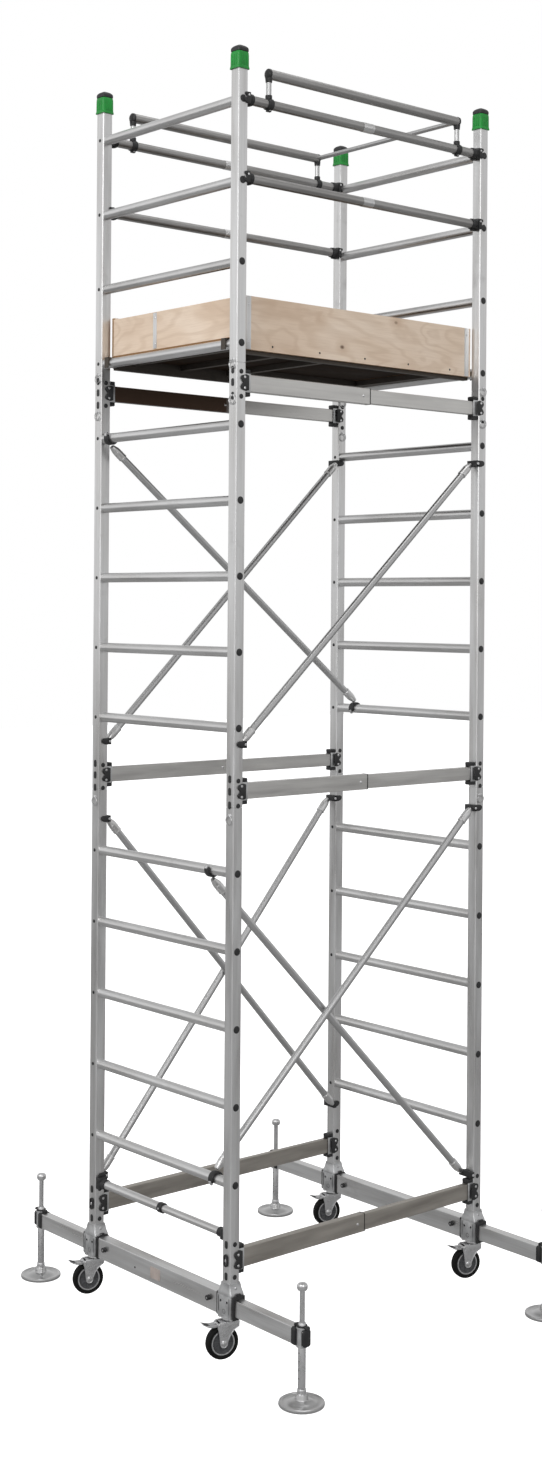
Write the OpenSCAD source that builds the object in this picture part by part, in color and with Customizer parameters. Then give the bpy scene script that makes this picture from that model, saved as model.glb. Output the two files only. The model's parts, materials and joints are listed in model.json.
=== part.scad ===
// Mobile tower scaffold: two ladder sides in three lifts, folding-type side
// beams, diagonal braces, hatch platform with toe boards and guardrails,
// telescopic outriggers with sliding jack legs, and four braked casters.
// Frame: X along the long side, Y across the ladder sides, +Z up.
// Origin: middle of the plan, on the floor under the jack feet. The tower
// stands on its four jacks, with the wheels just off the floor.

/* [Plan] */
// Distance between post centres along the long side
tower_l = 1300; // [1200:10:1500]
// Distance between post centres across the ladder side
tower_w = 850; // [800:10:1000]

/* [Ladder frames] */
// Side of the square posts
post = 45; // [44:1:46]
// Wall of the posts
post_wall = 2.5; // [2:0.5:3]
// Diameter of the rungs
rung_d = 38; // [36:1:38]
// Rung spacing of the upper frames
rung_pitch = 280; // [275:1:285]
// Rung spacing of the lower frames
low_pitch = 286; // [280:1:288]
// Height of the lowest rung
first_rung = 681; // [676:1:690]
// Height of the lowest rung of the upper frames
second_rung = 2360; // [2355:1:2365]
// Rung spacing of the guard frames
guard_pitch = 300; // [295:1:305]
// Height of the guard frame rung that carries the platform
deck_rung = 3780; // [3775:1:3785]
// Height of the joint between lower and upper frames
joint_1 = 2068; // [2060:1:2080]
// Height of the joint between upper and guard frames
joint_2 = 3706; // [3704:1:3712]
// Top of the guard frame posts
post_top = 4850; // [4840:5:4860]

/* [Base] */
// Height of the base beams
beam_h = 80; // [78:1:82]
// Width of the base beams
beam_b = 50; // [48:1:52]
// Wall of the base beams
beam_t = 3; // [2.5:0.5:3]
// Height of the base beam centre line
beam_z = 240; // [238:1:250]
// Length of a base beam beyond each post centre
beam_over = 42; // [42:1:50]
// Height of the outrigger tubes
arm_h = 60; // [58:1:60]
// Width of the outrigger tubes
arm_b = 40; // [38:1:40]
// Reach of the outriggers from post centre to jack centre
reach = 395; // [380:5:420]

/* [Jacks] */
// Diameter of the jack leg
leg_d = 28; // [26:1:30]
// Diameter of the foot plate
foot_d = 165; // [150:5:170]
// Height of the top of the jack knob
leg_top = 430; // [410:5:450]

/* [Casters] */
// Wheel diameter
wheel_d = 125; // [120:1:126]
// Wheel width
wheel_b = 32; // [28:1:34]
// Trail of the wheel behind the swivel axis
trail = 34; // [32:1:38]
// Direction in which the wheels trail, from +X
caster_yaw = 163; // [0:1:359]

/* [Platform] */
// Thickness of the plywood deck
deck_t = 12; // [9:1:15]
// Height of the underside of the deck board
deck_z = 3800; // [3798:1:3802]
// Height of the side toe boards
toe_h = 200; // [180:5:200]
// Thickness of the toe boards
toe_t = 18; // [15:1:18]

/* [Hidden] */

eps = 0.01;
hx = tower_l / 2;
hy = tower_w / 2;
hp = post / 2;
// Corners 1 to 4: left rear, left front, right rear, right front
CORNER = [[-1, 1], [-1, -1], [1, 1], [1, -1]];
lower_rungs = [for (i = [0:4]) first_rung + i * low_pitch];
upper_rungs = [for (i = [0:4]) second_rung + i * rung_pitch];
guard_rungs = [for (i = [0:3]) deck_rung + i * guard_pitch];
beam_bot = beam_z - beam_h / 2;
beam_top = beam_z + beam_h / 2;
beam_end = hy + beam_over;
// Side beams: [front or rear, centre height, height, width]
SB = [[-1, 405, 70, 30], [1, 405, 70, 30], [-1, 2127, 60, 30], [1, 2127, 60, 30],
      [-1, 3634, 62, 30], [1, 3664, 62, 30]];
strut_z = 491;
// Centre heights of the middle and top guardrails
rail_z = [guard_rungs[2] + 14, guard_rungs[3] + 6];
rail_d = 36;
bar_d = 38;
bar_z = 4800;
brace_d = 28;
strut_d = 34;
strut_e = 29.6;

ALU = [0.80, 0.81, 0.82];
BLACK = [0.06, 0.06, 0.06];
ZINC = [0.62, 0.64, 0.66];
WOOD = [0.78, 0.66, 0.52];

// ---------- shared shapes ----------

// Square with chamfered corners
module chamfer_square(w, d, c) {
  polygon([[-w/2 + c, -d/2], [w/2 - c, -d/2], [w/2, -d/2 + c], [w/2, d/2 - c],
           [w/2 - c, d/2], [-w/2 + c, d/2], [-w/2, d/2 - c], [-w/2, -d/2 + c]]);
}

// Upright square tube from z0 to z1
module post_tube(x, y, z0, z1) {
  translate([x, y, z0]) linear_extrude(z1 - z0) difference() {
    chamfer_square(post, post, 3);
    chamfer_square(post - 2 * post_wall, post - 2 * post_wall, 1);
  }
}

// Rectangular tube along Y, centred on x and z
module tube_y(x, z, b, h, t, y0, y1) {
  translate([x, y1, z]) rotate([90, 0, 0]) linear_extrude(y1 - y0) difference() {
    chamfer_square(b, h, 2);
    chamfer_square(b - 2 * t, h - 2 * t, 0.5);
  }
}

// Rectangular tube along X, centred on y and z
module tube_x(y, z, b, h, t, x0, x1) {
  translate([x0, y, z]) rotate([90, 0, 90]) linear_extrude(x1 - x0) difference() {
    chamfer_square(b, h, 2);
    chamfer_square(b - 2 * t, h - 2 * t, 0.5);
  }
}

// Round tube along Y
module round_y(x, z, d, t, y0, y1) {
  translate([x, y1, z]) rotate([90, 0, 0]) difference() {
    cylinder(d = d, h = y1 - y0, $fn = 48);
    translate([0, 0, -1]) cylinder(d = d - 2 * t, h = y1 - y0 + 2, $fn = 48);
  }
}

// Round tube along X
module round_x(y, z, d, t, x0, x1) {
  translate([x0, y, z]) rotate([0, 90, 0]) difference() {
    cylinder(d = d, h = x1 - x0, $fn = 48);
    translate([0, 0, -1]) cylinder(d = d - 2 * t, h = x1 - x0 + 2, $fn = 48);
  }
}

// Places children so that their +Z runs from a to b
module along(a, b) {
  v = b - a;
  r = norm(v);
  translate(a) rotate([0, acos(v[2] / r), atan2(v[1], v[0])]) children();
}

// Ladder rung between the inner faces of two posts
module rung(x, z) { round_y(x, z, rung_d, 2, -hy + hp, hy - hp); }

// ---------- base ----------

module base_beams() color(ALU)
  for (sx = [-1, 1]) difference() {
    tube_y(sx * hx, beam_z, beam_b, beam_h, beam_t, -beam_end, beam_end);
    for (sy = [-1, 1])
      translate([sx * hx - beam_b/2 - 1, sy * (hy - 95), beam_z + 5]) rotate([0, 90, 0])
        cylinder(r = 6.05, h = beam_t + 2, $fn = 32);
  }

// Plastic guide collar on each beam end
module beam_collars() color(BLACK) {
  for (c = CORNER) translate([c[0] * hx, c[1] * (beam_end + 4), beam_z]) rotate([90, 0, 0])
    difference() {
      union() {
        translate([0, 0, -4]) linear_extrude(8) chamfer_square(beam_b + 6, beam_h + 6, 4);
        translate([-9, beam_h / 2, -4]) cube([18, 12, 8]);
      }
      translate([0, 0, -5]) linear_extrude(10) chamfer_square(arm_b + 1, arm_h + 1, 1);
    }
  // bands beside the foot brackets
  for (c = CORNER) translate([c[0] * hx, c[1] * (hy - 44.2), beam_z]) rotate([90, 0, 0])
    difference() {
      union() {
        translate([0, 0, -5]) linear_extrude(10) chamfer_square(beam_b + 7, beam_h + 7, 4);
        translate([-8, beam_h / 2, -5]) cube([16, 13, 10]);
      }
      translate([0, 0, -6]) linear_extrude(12) chamfer_square(beam_b + 0.2, beam_h + 0.2, 1);
    }
}

// Cast saddle on the beam that carries the post
module foot_brackets() color(ALU)
  for (c = CORNER) translate([c[0] * hx, c[1] * hy, 0]) difference() {
    union() {
      translate([0, 0, beam_bot]) linear_extrude(beam_h) chamfer_square(66, 78, 4);
      intersection() {
        rotate([90, 0, 0]) translate([0, 0, -40]) linear_extrude(80)
          polygon([[-33, beam_top], [33, beam_top], [33, beam_top + 12], [27, beam_top + 44], [-27, beam_top + 44], [-33, beam_top + 12]]);
        rotate([90, 0, 90]) translate([0, 0, -40]) linear_extrude(80)
          polygon([[-39, beam_top], [39, beam_top], [39, beam_top + 8], [27, beam_top + 44], [-27, beam_top + 44], [-39, beam_top + 8]]);
      }
    }
    translate([-beam_b/2, -60, beam_bot - 1]) cube([beam_b, 120, beam_h + 1]);
    translate([-hp, -hp, beam_top - 1]) cube([post, post, 60]);
  }

// Bearing cup and kingpin under each foot
module caster_mounts() color(ZINC)
  for (c = CORNER) translate([c[0] * hx, c[1] * hy, beam_bot]) {
    translate([0, 0, -5]) linear_extrude(5) chamfer_square(66, 78, 8);
    translate([0, 0, -13]) cylinder(r = 31, h = 8 + eps, $fn = 64);
    translate([0, 0, -20]) cylinder(r = 6, h = 7 + eps, $fn = 32);
    translate([0, 0, -25]) cylinder(r = 10, h = 6.5, $fn = 32);
  }

// ---------- ladder frames ----------

module lower_frame_posts() color(ALU)
  for (c = CORNER) post_tube(c[0] * hx, c[1] * hy, beam_top, joint_1);
module lower_frame_rungs() color(ALU)
  for (sx = [-1, 1], z = lower_rungs) rung(sx * hx, z);
module upper_frame_posts() color(ALU)
  for (c = CORNER) post_tube(c[0] * hx, c[1] * hy, joint_1 + 2, joint_2);
module upper_frame_rungs() color(ALU)
  for (sx = [-1, 1], z = upper_rungs) rung(sx * hx, z);
module guard_frame_posts() color(ALU)
  for (c = CORNER) post_tube(c[0] * hx, c[1] * hy, joint_2 + 2, post_top);
module guard_frame_rungs() color(ALU)
  for (sx = [-1, 1], z = guard_rungs) rung(sx * hx, z);

// Spigot inside each post joint
module joint_spigots() color(ZINC)
  for (c = CORNER, z = [joint_1, joint_2])
    translate([c[0] * hx, c[1] * hy, z - 110]) linear_extrude(220) difference() {
      chamfer_square(post - 2 * post_wall - 1, post - 2 * post_wall - 1, 2);
      chamfer_square(post - 2 * post_wall - 6, post - 2 * post_wall - 6, 1);
    }

// Spring ring clips that lock the post joints
module ring_clip() {
  cylinder(r = 6, h = 5, $fn = 32);
  translate([0, -17, 2.5]) rotate_extrude($fn = 48) translate([17, 0]) circle(r = 1.6, $fn = 16);
}
module joint_clips() color(ZINC)
  for (c = CORNER, z = [joint_1 - 30, joint_2 - 120, c[1] < 0 ? joint_2 + 12 : joint_2 + 30])
    translate([c[0] * hx, c[1] * hy, z])
      if (c[0] < 0) translate([-hp, 0, 0]) rotate([0, -90, 0]) rotate([0, 0, -90]) ring_clip();
      else translate([0, -hp, 0]) rotate([90, 0, 0]) ring_clip();

// Plugs over the rung ends and in the post tops, and the rivets of the rungs
module tube_plugs() color(BLACK) {
  for (sx = [-1, 1], sy = [-1, 1], z = concat(lower_rungs, upper_rungs, guard_rungs))
    translate([sx * hx, sy * (hy + hp), z]) rotate([-90 * sy, 0, 0])
      cylinder(r1 = 12.5, r2 = 11, h = 3, $fn = 32);
  for (sx = [-1, 1], z = concat(lower_rungs, upper_rungs, guard_rungs))
    translate([sx * hx - hp, hy, z]) rotate([0, -90, 0]) cylinder(r = 7, h = 2, $fn = 24);
  for (c = CORNER) translate([c[0] * hx, c[1] * hy, 0]) {
    translate([0, 0, post_top - 30]) linear_extrude(30) chamfer_square(post - 2 * post_wall - 0.6, post - 2 * post_wall - 0.6, 2);
    translate([0, 0, post_top]) linear_extrude(5) chamfer_square(46, 46, 5);
    intersection() {
      rotate([90, 0, 0]) translate([0, 0, -40]) linear_extrude(80)
        polygon([[-26, post_top + 4.5], [26, post_top + 4.5], [26, post_top + 15], [21, post_top + 24], [12, post_top + 30], [-12, post_top + 30], [-21, post_top + 24], [-26, post_top + 15]]);
      rotate([90, 0, 90]) translate([0, 0, -40]) linear_extrude(80)
        polygon([[-26, post_top + 4.5], [26, post_top + 4.5], [26, post_top + 15], [21, post_top + 24], [12, post_top + 30], [-12, post_top + 30], [-21, post_top + 24], [-26, post_top + 15]]);
    }
  }
}

// Coloured caps around the post tops
module post_caps() color([0, 0.5, 0.2])
  for (c = CORNER) translate([c[0] * hx, c[1] * hy, post_top - 60]) linear_extrude(64) difference() {
    chamfer_square(57, 57, 6);
    chamfer_square(46.2, 46.2, 3);
  }

// ---------- side beams ----------

module side_beam_sleeves() color(ALU)
  for (b = SB)
    tube_x(b[0] * hy, b[1], b[3], b[2], 2.5, -hx + hp + 4, 15);
module side_beam_inners() color(ALU)
  for (b = SB)
    tube_x(b[0] * hy, b[1], b[3] - 6, b[2] - 6, 2.5, -120, hx - hp - 4);

// End fittings that lock each side beam to its posts
module side_beam_brackets() color(BLACK)
  for (b = SB) translate([0, b[0] * hy, b[1]]) {
    difference() {
      union() {
        translate([-hx + hp, -b[3]/2 - 4, -b[2]/2 - 7]) cube([26, b[3] + 8, b[2] + 14]);
        translate([-hx + hp - 14, -hp - 5, -b[2]/2 - 2]) cube([22, post + 10, b[2] + 4]);
        translate([-hx + hp, -19, -b[2]/2 - 19]) cube([28, 38, b[2] + 38]);
      }
      translate([-hx + hp + 4, -b[3]/2, -b[2]/2]) cube([40, b[3], b[2]]);
      translate([-hx - hp, -hp, -b[2]]) cube([post, post, 2 * b[2]]);
    }
    difference() {
      union() {
        translate([hx - hp - 26, -b[3]/2 - 2, -b[2]/2 - 5]) cube([26, b[3] + 4, b[2] + 10]);
        translate([hx - hp - 8, -hp - 5, -b[2]/2 - 2]) cube([22, post + 10, b[2] + 4]);
        translate([hx - hp - 28, -19, -b[2]/2 - 19]) cube([28, 38, b[2] + 38]);
      }
      translate([hx - hp - 44, -b[3]/2 + 3, -b[2]/2 + 3]) cube([40, b[3] - 6, b[2] - 6]);
      translate([hx - hp, -hp, -b[2]]) cube([post, post, 2 * b[2]]);
    }
  }

// ---------- struts and braces ----------

// Two-diameter strut near the base, on the left ladder side only
module low_strut() color(ALU) {
  round_y(-hx, strut_z, strut_d, 2, -10, hy - hp);
  round_y(-hx, strut_z, strut_e, 2, -hy + hp, 60);
}

// Braces: each [start, end, start hook on a post?, end hook on a post?]
ix = hx - hp - 12;
ro = rung_d / 2 + 12;
BR = [
  // lower front pair
  [[-hx, -hy + 128, lower_rungs[4] - ro], [ix, -hy + 36, 474]],
  [[-hx, -hy + 92, first_rung + ro], [ix, -hy - 4, 1985]],
  // lower rear pair
  [[-ix, hy - 6, 1950], [ix, hy - 30, 590]],
  [[-ix, hy + 16, 515], [ix, hy + 16, 1955]],
  // upper rear pair
  [[-hx, hy - 60, upper_rungs[4] - ro], [hx, hy - 118, upper_rungs[0] + ro]],
  [[-ix, hy - 0, 2262], [ix, hy - 22, 3452]],
  // upper front single
  [[-ix, -hy + 10, 2300], [ix, -hy + 10, 3405]]];

module brace_tubes() color(ALU)
  for (b = BR) along(b[0], b[1]) translate([0, 0, 46]) difference() {
    cylinder(d = brace_d, h = norm(b[1] - b[0]) - 92, $fn = 32);
    translate([0, 0, -1]) cylinder(d = brace_d - 3, h = norm(b[1] - b[0]) - 90, $fn = 32);
  }

// Outline of everything that a hook may close around, with fitting room
module hook_room() {
  for (c = CORNER) translate([c[0] * hx - hp - 0.3, c[1] * hy - hp - 0.3, 200]) cube([post + 0.6, post + 0.6, 3600]);
  for (sx = [-1, 1], z = concat([strut_z], lower_rungs, upper_rungs))
    translate([sx * hx, hy, z]) rotate([90, 0, 0]) cylinder(r = rung_d / 2 + 0.3, h = 2 * hy, $fn = 32);
}
module brace_hook(a, b) {
  difference() {
    union() {
      along(a, b) translate([0, 0, 4]) cylinder(d = brace_d + 6, h = 72, $fn = 32);
      along(a, b) translate([-15, -15, -16]) cube([30, 30, 42]);
    }
    along(a, b) translate([0, 0, 46]) cylinder(d = brace_d, h = 60, $fn = 32);
    hook_room();
  }
}
module brace_hooks() color(BLACK) {
  for (b = BR) { brace_hook(b[0], b[1]); brace_hook(b[1], b[0]); }
  // strut clamps
  difference() {
    union() {
      translate([-hx - 21, hy - hp - 30, strut_z - 24]) cube([42, 30, 48]);
      translate([-hx - 20, -hy + hp, strut_z - 20]) cube([40, 26, 40]);
      translate([-hx, 4, strut_z]) rotate([90, 0, 0]) cylinder(r = strut_d / 2 + 3, h = 24, $fn = 32);
    }
    translate([-hx, hy, strut_z]) rotate([90, 0, 0]) cylinder(r = strut_d / 2 + 0.05, h = hy + 10, $fn = 48);
    translate([-hx, hy, strut_z]) rotate([90, 0, 0]) cylinder(r = strut_e / 2 + 0.05, h = 2 * hy, $fn = 48);
  }
}

// ---------- platform ----------

hatch_x0 = -20; hatch_x1 = 560; hatch_y0 = -250; hatch_y1 = 250;
deck_y = hy - hp - toe_t - 2;
deck_x = hx - rung_d/2 - 3;
rail_in = deck_y - 1;

module platform_frame() color(ALU) {
  // side rails and cross members
  for (sy = [-1, 1]) translate([-deck_x, sy > 0 ? rail_in - 26 : -rail_in, deck_z - 46])
    cube([2 * deck_x, 26, 46]);
  for (x = [-deck_x, -560, -310, hatch_x0 - 42, hatch_x1 + 12, deck_x - 26])
    translate([x, -rail_in + 26, deck_z - 22]) cube([26, 2 * rail_in - 52, 22]);
  // hatch ledges
  for (sy = [-1, 1]) translate([hatch_x0 - 14, sy > 0 ? hatch_y1 - 14 : hatch_y0 - 14, deck_z - 22])
    cube([hatch_x1 + 24 - hatch_x0, 28, 21.5]);
  // claws over the carrying rungs
  for (sx = [-1, 1], sy = [-1, 1]) difference() {
    translate([sx * (hx - 10) - 34, sy * (rail_in - 13) - 12, deck_rung - 20]) cube([68, 24, rung_d / 2 + 23]);
    translate([sx * hx, sy * hy, deck_rung]) rotate([90, 0, 0]) translate([0, 0, -hy]) cylinder(r = rung_d/2 + 0.3, h = 2 * hy, $fn = 32);
    translate([sx * hx - rung_d/2 - 0.3, -hy, deck_rung - 40]) cube([rung_d + 0.6, 2 * hy, 40]);
    translate([-deck_x + 26, -hy, deck_rung - 60]) cube([2 * deck_x - 52, 2 * hy, 120]);
    translate([-deck_x, -rail_in + 26, deck_z - 37]) cube([2 * deck_x, 2 * rail_in - 52, 60]);
    translate([-deck_x - 0.3, -hy, deck_z]) cube([2 * deck_x + 0.6, 2 * hy, 60]);
  }
  // hinge knuckles and pin on the deck side
  for (x = [60, 440]) translate([x, hatch_y1 + 1, deck_z + deck_t + 5.5]) rotate([0, 90, 0]) {
    cylinder(r = 2.5, h = 70, $fn = 32);
    for (h = [0, 50]) translate([0, 0, h]) cylinder(r = 5, h = 20, $fn = 32);
    for (h = [0, 50]) translate([2.5, 0, h]) cube([3, 34, 20]);
  }
}

module deck_board() color([0.42, 0.27, 0.15])
  difference() {
    translate([-deck_x, -deck_y, deck_z]) cube([2 * deck_x, 2 * deck_y, deck_t]);
    translate([hatch_x0, hatch_y0, deck_z - 1]) cube([hatch_x1 - hatch_x0, hatch_y1 - hatch_y0, deck_t + 2]);
  }

module hatch_panel() color([0.45, 0.29, 0.16]) {
  translate([hatch_x0 + 2, hatch_y0 + 2, deck_z]) cube([hatch_x1 - hatch_x0 - 4, hatch_y1 - hatch_y0 - 4, deck_t]);
  for (x = [60, 440]) translate([x + 20.5, hatch_y1 + 1, deck_z + deck_t + 5.5]) rotate([0, 90, 0]) {
    difference() {
      union() {
        cylinder(r = 5, h = 29, $fn = 32);
        translate([0, -36, 0]) cube([5.5, 36, 29]);
      }
      translate([0, 0, -1]) cylinder(r = 2.55, h = 31, $fn = 32);
    }
  }
}

module toe_boards() color(WOOD) {
  for (sy = [-1, 1]) translate([-hx + hp + 6, sy > 0 ? hy - hp - toe_t - 0.5 : -hy + hp + 0.5, deck_z - 34])
    cube([tower_l - post - 12, toe_t, toe_h]);
  for (sx = [-1, 1]) translate([sx > 0 ? deck_x - toe_t : -deck_x, -deck_y, deck_z + deck_t])
    cube([toe_t, 2 * deck_y, 146]);
}

module toe_board_strips() color(ALU) {
  for (sy = [-1, 1], x = [-592, 586]) translate([x, sy > 0 ? hy - hp - 0.5 : -hy + hp - 2, deck_z - 34])
    cube([24, 2.5, toe_h]);
  for (sx = [-1, 1], y = [96]) translate([sx > 0 ? deck_x : -deck_x - 2.5, y, deck_z + deck_t + 4])
    cube([2.5, 22, 138]);
}

// ---------- guardrails ----------

rx = hx - hp - 3;
module guard_rails() color(ALU)
  for (sy = [-1, 1], z = rail_z)
    round_x(sy * hy, z, rail_d, 2, -rx, rx);

// Claws that hold the rails on the posts
module rail_clamps() color(BLACK)
  for (sx = [-1, 1], sy = [-1, 1], z = rail_z) difference() {
    union() {
      translate([sx * (hx - hp - 15), sy * hy, z]) translate([-15, -22, -26]) cube([30, 44, 52]);
      translate([sx * (hx - hp + 3), sy * hy, z]) translate([-13, -28, -15]) cube([26, 56, 30]);
    }
    translate([sx * (hx - hp - 3) + (sx > 0 ? -60 : 0), sy * hy, z]) rotate([0, 90, 0]) cylinder(d = rail_d, h = 60, $fn = 48);
    translate([sx * hx - hp, sy * hy - hp, z - 60]) cube([post, post, 120]);
    for (r = guard_rungs) {
      translate([sx * hx, hy, r]) rotate([90, 0, 0]) cylinder(d = rung_d, h = 2 * hy, $fn = 48);
      // room for the end plugs and rivets of the rungs
      translate([sx * hx, sy * (hy + hp), r]) rotate([-90 * sy, 0, 0]) cylinder(r = 13, h = 4, $fn = 32);
      translate([sx * hx - hp + 1, hy, r]) rotate([0, -90, 0]) cylinder(r = 7.3, h = 3.4, $fn = 24);
    }
  }

// Raised bars above the top rails and across the right end
module raised_bars() color(ALU) {
  top = rail_z[1] + rail_d/2;
  for (sy = [-1, 1]) {
    round_x(sy * hy, bar_z, bar_d, 2, -520, 520);
    for (x = [-508, 508]) translate([x, sy * hy, top + 0.1]) cylinder(d = 20, h = bar_z - bar_d/2 + 3.5 - top, $fn = 32);
    for (x = [-508, 508]) translate([x, sy * hy, rail_z[1]]) rotate([0, 90, 0]) difference() {
      translate([0, 0, -14]) cylinder(r = rail_d/2 + 4, h = 28, $fn = 48);
      translate([0, 0, -15]) cylinder(r = rail_d/2 + 0.05, h = 30, $fn = 48);
    }
  }
  round_y(508, bar_z, 20, 2, -hy + bar_d/2 - 3, hy - bar_d/2 + 3);
}

// ---------- casters ----------

module caster_place(i) {
  c = CORNER[i - 1];
  translate([c[0] * hx, c[1] * hy, beam_bot]) rotate([0, 0, caster_yaw]) children();
}
// Heights below the beam, and positions along the trail direction
wr = wheel_d / 2;
za = wr - 155;
pv = [52, -25];

module caster_fork(i) color(ZINC) caster_place(i) {
  difference() {
    union() {
      translate([-28, -24, -18]) cube([74, 48, 4]);
      for (s = [-1, 1]) translate([0, s > 0 ? 24 : -19, 0]) rotate([90, 0, 0]) linear_extrude(5) union() {
        polygon([[-28, -14], [46, -14], [58, -20], [58, -30], [trail + 14, za], [trail - 14, za], [-28, -34]]);
        translate([trail, za]) circle(r = 14, $fn = 48);
      }
    }
    translate([0, 0, -30]) cylinder(r = 6.05, h = 40, $fn = 32);
  }
  // axle bolt
  translate([trail, 0, za]) rotate([90, 0, 0]) {
    translate([0, 0, -27]) cylinder(r = 5, h = 54, $fn = 32);
    for (s = [-1, 1]) translate([0, 0, s * 27 - 3]) cylinder(r = 9, h = 6, $fn = 32);
  }
  // pedal pin
  translate([pv[0], 0, pv[1]]) rotate([90, 0, 0]) translate([0, 0, -22]) cylinder(r = 2.5, h = 44, $fn = 32);
}

module wheel_tyre(i) color([0.05, 0.05, 0.05]) caster_place(i)
  translate([trail, 0, za]) rotate([90, 0, 0]) rotate_extrude($fn = 96)
    polygon([[47, -wheel_b/2 + 4], [52, -wheel_b/2], [wr - 6, -wheel_b/2 + 0.5], [wr - 2, -wheel_b/2 + 4], [wr, -wheel_b/2 + 9],
             [wr, wheel_b/2 - 9], [wr - 2, wheel_b/2 - 4], [wr - 6, wheel_b/2 - 0.5], [52, wheel_b/2], [47, wheel_b/2 - 4]]);

module wheel_hub(i) color([0.4, 0.41, 0.42]) caster_place(i)
  translate([trail, 0, za]) rotate([90, 0, 0]) rotate_extrude($fn = 96)
    polygon([[5.05, -17.5], [14, -17.5], [16, -8], [36, -6], [40, -13], [46.9, -12], [46.9, 12], [40, 13], [36, 6], [16, 8], [14, 17.5], [5.05, 17.5]]);

module brake_pedal(i) color([0.55, 0.56, 0.58]) caster_place(i)
  translate([pv[0], 0, pv[1]]) rotate([90, 0, 0]) difference() {
    union() {
      translate([0, 0, -17]) cylinder(r = 5, h = 34, $fn = 32);
      translate([0, -3, -17]) cube([32, 5, 34]);
      translate([29, -3, -19]) linear_extrude(38)
        polygon([[0, 0], [22, 2], [33, 7], [33, 11], [20, 8], [0, 5]]);
    }
    translate([0, 0, -30]) cylinder(r = 2.55, h = 60, $fn = 32);
  }

// ---------- outriggers and jacks ----------

module outrigger_tube(i) color(ALU) {
  c = CORNER[i - 1];
  y0 = 205; y1 = hy + reach - 32;
  tube_y(c[0] * hx, beam_z, arm_b, arm_h, 3, c[1] > 0 ? y0 : -y1, c[1] > 0 ? y1 : -y0);
}

// Sleeve around the jack leg between two end caps
module clamp_head(i) color(ZINC) {
  c = CORNER[i - 1];
  translate([c[0] * hx, c[1] * (hy + reach), beam_z]) difference() {
    union() {
      translate([0, 0, -35]) cylinder(r = 21, h = 70, $fn = 48);
      translate([0, -c[1] * 22, 0]) rotate([90, 0, 0]) translate([0, 0, -10])
        linear_extrude(20) chamfer_square(50, 64, 6);
      translate([0, c[1] * 21, 0]) rotate([90, 0, 0]) translate([0, 0, -7])
        linear_extrude(14) chamfer_square(34, 60, 5);
    }
    translate([0, 0, -50]) cylinder(r = leg_d/2 + 0.05, h = 100, $fn = 48);
  }
}

module jack_leg(i) color(ZINC) {
  c = CORNER[i - 1];
  r = leg_d / 2;
  translate([c[0] * hx, c[1] * (hy + reach), 0]) {
    rotate_extrude($fn = 72)
      polygon([[0, 0], [foot_d/2, 0], [foot_d/2, 12], [foot_d/2 - 3, 15], [42, 17], [30, 20], [22, 24], [20, 40], [r, 42],
               [r, beam_z + 50], [9.5, beam_z + 51], [9.5, leg_top - 30], [16, leg_top - 28], [19, leg_top - 20],
               [19, leg_top - 8], [13, leg_top], [0, leg_top]]);
    // cross pin of the foot
    translate([-26, 0, 30]) rotate([0, 90, 0]) cylinder(r = 4, h = 52, $fn = 32);
  }
}

// Lock knob on the inner-left face of each base beam
module lock_button(i) color(BLACK) {
  c = CORNER[i - 1];
  translate([c[0] * hx - beam_b/2, c[1] * (hy - 95), beam_z + 5]) rotate([0, -90, 0]) {
    translate([0, 0, 0.5]) cylinder(r = 10, h = 12, $fn = 32);
    translate([0, 0, -beam_t - 1]) cylinder(r = 6, h = beam_t + 2, $fn = 32);
  }
}

module caster_fork_1() caster_fork(1);
module caster_fork_2() caster_fork(2);
module caster_fork_3() caster_fork(3);
module caster_fork_4() caster_fork(4);
module wheel_tyre_1() wheel_tyre(1);
module wheel_tyre_2() wheel_tyre(2);
module wheel_tyre_3() wheel_tyre(3);
module wheel_tyre_4() wheel_tyre(4);
module wheel_hub_1() wheel_hub(1);
module wheel_hub_2() wheel_hub(2);
module wheel_hub_3() wheel_hub(3);
module wheel_hub_4() wheel_hub(4);
module brake_pedal_1() brake_pedal(1);
module brake_pedal_2() brake_pedal(2);
module brake_pedal_3() brake_pedal(3);
module brake_pedal_4() brake_pedal(4);
module outrigger_tube_1() outrigger_tube(1);
module outrigger_tube_2() outrigger_tube(2);
module outrigger_tube_3() outrigger_tube(3);
module outrigger_tube_4() outrigger_tube(4);
module clamp_head_1() clamp_head(1);
module clamp_head_2() clamp_head(2);
module clamp_head_3() clamp_head(3);
module clamp_head_4() clamp_head(4);
module jack_leg_1() jack_leg(1);
module jack_leg_2() jack_leg(2);
module jack_leg_3() jack_leg(3);
module jack_leg_4() jack_leg(4);
module lock_button_1() lock_button(1);
module lock_button_2() lock_button(2);
module lock_button_3() lock_button(3);
module lock_button_4() lock_button(4);

base_beams();
beam_collars();
foot_brackets();
caster_mounts();
lower_frame_posts();
lower_frame_rungs();
low_strut();
side_beam_sleeves();
side_beam_inners();
side_beam_brackets();
joint_spigots();
joint_clips();
upper_frame_posts();
upper_frame_rungs();
guard_frame_posts();
guard_frame_rungs();
tube_plugs();
brace_tubes();
brace_hooks();
platform_frame();
deck_board();
toe_boards();
toe_board_strips();
guard_rails();
rail_clamps();
raised_bars();
post_caps();
hatch_panel();
caster_fork_1();
caster_fork_2();
caster_fork_3();
caster_fork_4();
wheel_tyre_1();
wheel_tyre_2();
wheel_tyre_3();
wheel_tyre_4();
wheel_hub_1();
wheel_hub_2();
wheel_hub_3();
wheel_hub_4();
brake_pedal_1();
brake_pedal_2();
brake_pedal_3();
brake_pedal_4();
outrigger_tube_1();
outrigger_tube_2();
outrigger_tube_3();
outrigger_tube_4();
clamp_head_1();
clamp_head_2();
clamp_head_3();
clamp_head_4();
jack_leg_1();
jack_leg_2();
jack_leg_3();
jack_leg_4();
lock_button_1();
lock_button_2();
lock_button_3();
lock_button_4();
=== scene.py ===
import bpy, bmesh, json, math
from mathutils import Vector, Matrix


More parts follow.
